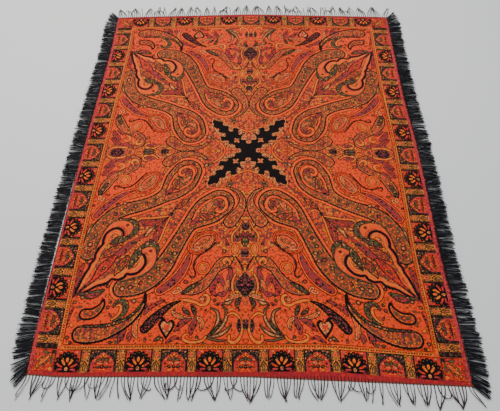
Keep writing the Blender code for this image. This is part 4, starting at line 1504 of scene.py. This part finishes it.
class SHAWL_OT_fringes(bpy.types.Operator):
    """Grow the dark wool fringes of the sides and the thin ones of the ends"""

    bl_idname = "shawl.fringes"
    bl_label = "Grow Fringes"

    def execute(self, context):
        settings = context.scene.shawl_fringe
        bench = yarn_tree()
        # The side fringe's paler yarns are partly painted highlights
        side_wool = fringe_material("side fringe", settings.side_deep, settings.side_pale_highlight, 0.62)
        end_wool = fringe_material("end fringe", settings.end_deep, settings.end_pale, 0.8)
        for rows, guides, wool, slot, yarns, spread, wiggle in (
            (SIDE_FRINGES, side_guides, side_wool, "side_fringe_wool", LOCK_YARNS, 0.0036, 0.006),
            (END_FRINGES, end_guides, end_wool, "end_fringe_wool", 2, 0.0009, 0.005),
        ):
            for row in rows:
                values = {
                    "Yarns": yarns, "Spread": spread, "Wiggle": wiggle,
                    "Yarn Radius": settings.yarn_radius, "Sides": 4,
                    "Seed": settings.fringe_seed + row.side, "Material": wool,
                }
                piece = grow_fringe(row, guides(settings, row), bench, values)
        return {"FINISHED"}


class SHAWL_OT_stage(bpy.types.Operator):
    """Set the floor, the lights and the camera"""

    bl_idname = "shawl.stage"
    bl_label = "Set Stage"

    def execute(self, context):
        settings = context.scene.shawl_stage
        set_floor(settings)
        set_lights()
        set_camera(settings)
        return {"FINISHED"}


def set_camera(settings):
    """The camera where the photograph was taken from, looking down over the near end."""
    lens = bpy.data.cameras.new("camera")
    lens.sensor_width = SENSOR_WIDTH
    lens.sensor_fit = "HORIZONTAL"
    lens.lens = settings.focal_length
    lens.shift_x, lens.shift_y = CAMERA_SHIFT
    camera = bpy.data.objects.new("camera", lens)
    camera.location = CAMERA_PLACE
    camera.rotation_euler = [math.radians(turn) for turn in CAMERA_TURN]
    bpy.context.scene.collection.objects.link(camera)
    bpy.context.scene.camera = camera


def set_floor(settings):
    """A plain pale floor just under the shawl."""
    half = settings.floor_size / 2
    floor = make_object(
        "floor", [(-half, -half, 0), (half, -half, 0), (half, half, 0), (-half, half, 0)],
        [(0, 1, 2, 3)],
    )
    bench = NodeBench("pale_floor")
    bench.shader.inputs["Base Color"].default_value = FLOOR_COLOR
    bench.shader.inputs["Roughness"].default_value = 0.6
    floor.data.materials.append(bench.material)


def set_lights():
    """Soft daylight: a pale surround and one large lamp overhead."""
    world = bpy.data.worlds.new("surround")
    world.use_nodes = True
    world.node_tree.nodes["Background"].inputs[0].default_value = SKY_COLOR
    world.node_tree.nodes["Background"].inputs[1].default_value = SKY_STRENGTH
    bpy.context.scene.world = world
    lamp = bpy.data.lights.new("overhead", "AREA")
    lamp.shape = "RECTANGLE"
    lamp.size, lamp.size_y = LAMP_SIZE
    lamp.energy = LAMP_POWER
    lamp.color = LAMP_COLOR
    light = bpy.data.objects.new("overhead", lamp)
    light.location = LAMP_PLACE
    light.rotation_euler = (-Vector(LAMP_PLACE)).to_track_quat("-Z", "Y").to_euler()
    bpy.context.scene.collection.objects.link(light)


class SHAWL_PT_panel(bpy.types.Panel):
    """The shawl's pieces in the sidebar"""

    bl_label = "Paisley Shawl"
    bl_idname = "SHAWL_PT_panel"
    bl_space_type = "VIEW_3D"
    bl_region_type = "UI"
    bl_category = "Shawl"

    def draw(self, context):
        layout = self.layout
        for kind in OPERATORS:
            layout.operator(kind.bl_idname)
        for name, group in SETTINGS:
            box = layout.box()
            for setting in group.__annotations__:
                box.prop(getattr(context.scene, name), setting)


OPERATORS = (SHAWL_OT_fringes, SHAWL_OT_cloth, SHAWL_OT_stage)
SETTINGS = (
    ("shawl_cloth", ShawlClothSettings),
    ("shawl_fringe", ShawlFringeSettings),
    ("shawl_stage", ShawlStageSettings),
)


def register():
    """Add the shawl's settings, operators and panel."""
    for name, group in SETTINGS:
        bpy.utils.register_class(group)
        setattr(bpy.types.Scene, name, PointerProperty(type=group))
    for kind in (*OPERATORS, SHAWL_PT_panel):
        bpy.utils.register_class(kind)


def unregister():
    """Take them away again."""
    for kind in reversed((*OPERATORS, SHAWL_PT_panel)):
        bpy.utils.unregister_class(kind)
    for name, group in reversed(SETTINGS):
        delattr(bpy.types.Scene, name)
        bpy.utils.unregister_class(group)


def main():
    """Make every piece."""
    register()
    bpy.ops.shawl.fringes()
    bpy.ops.shawl.cloth()
    bpy.ops.shawl.stage()
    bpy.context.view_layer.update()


if __name__ == "__main__":
    main()
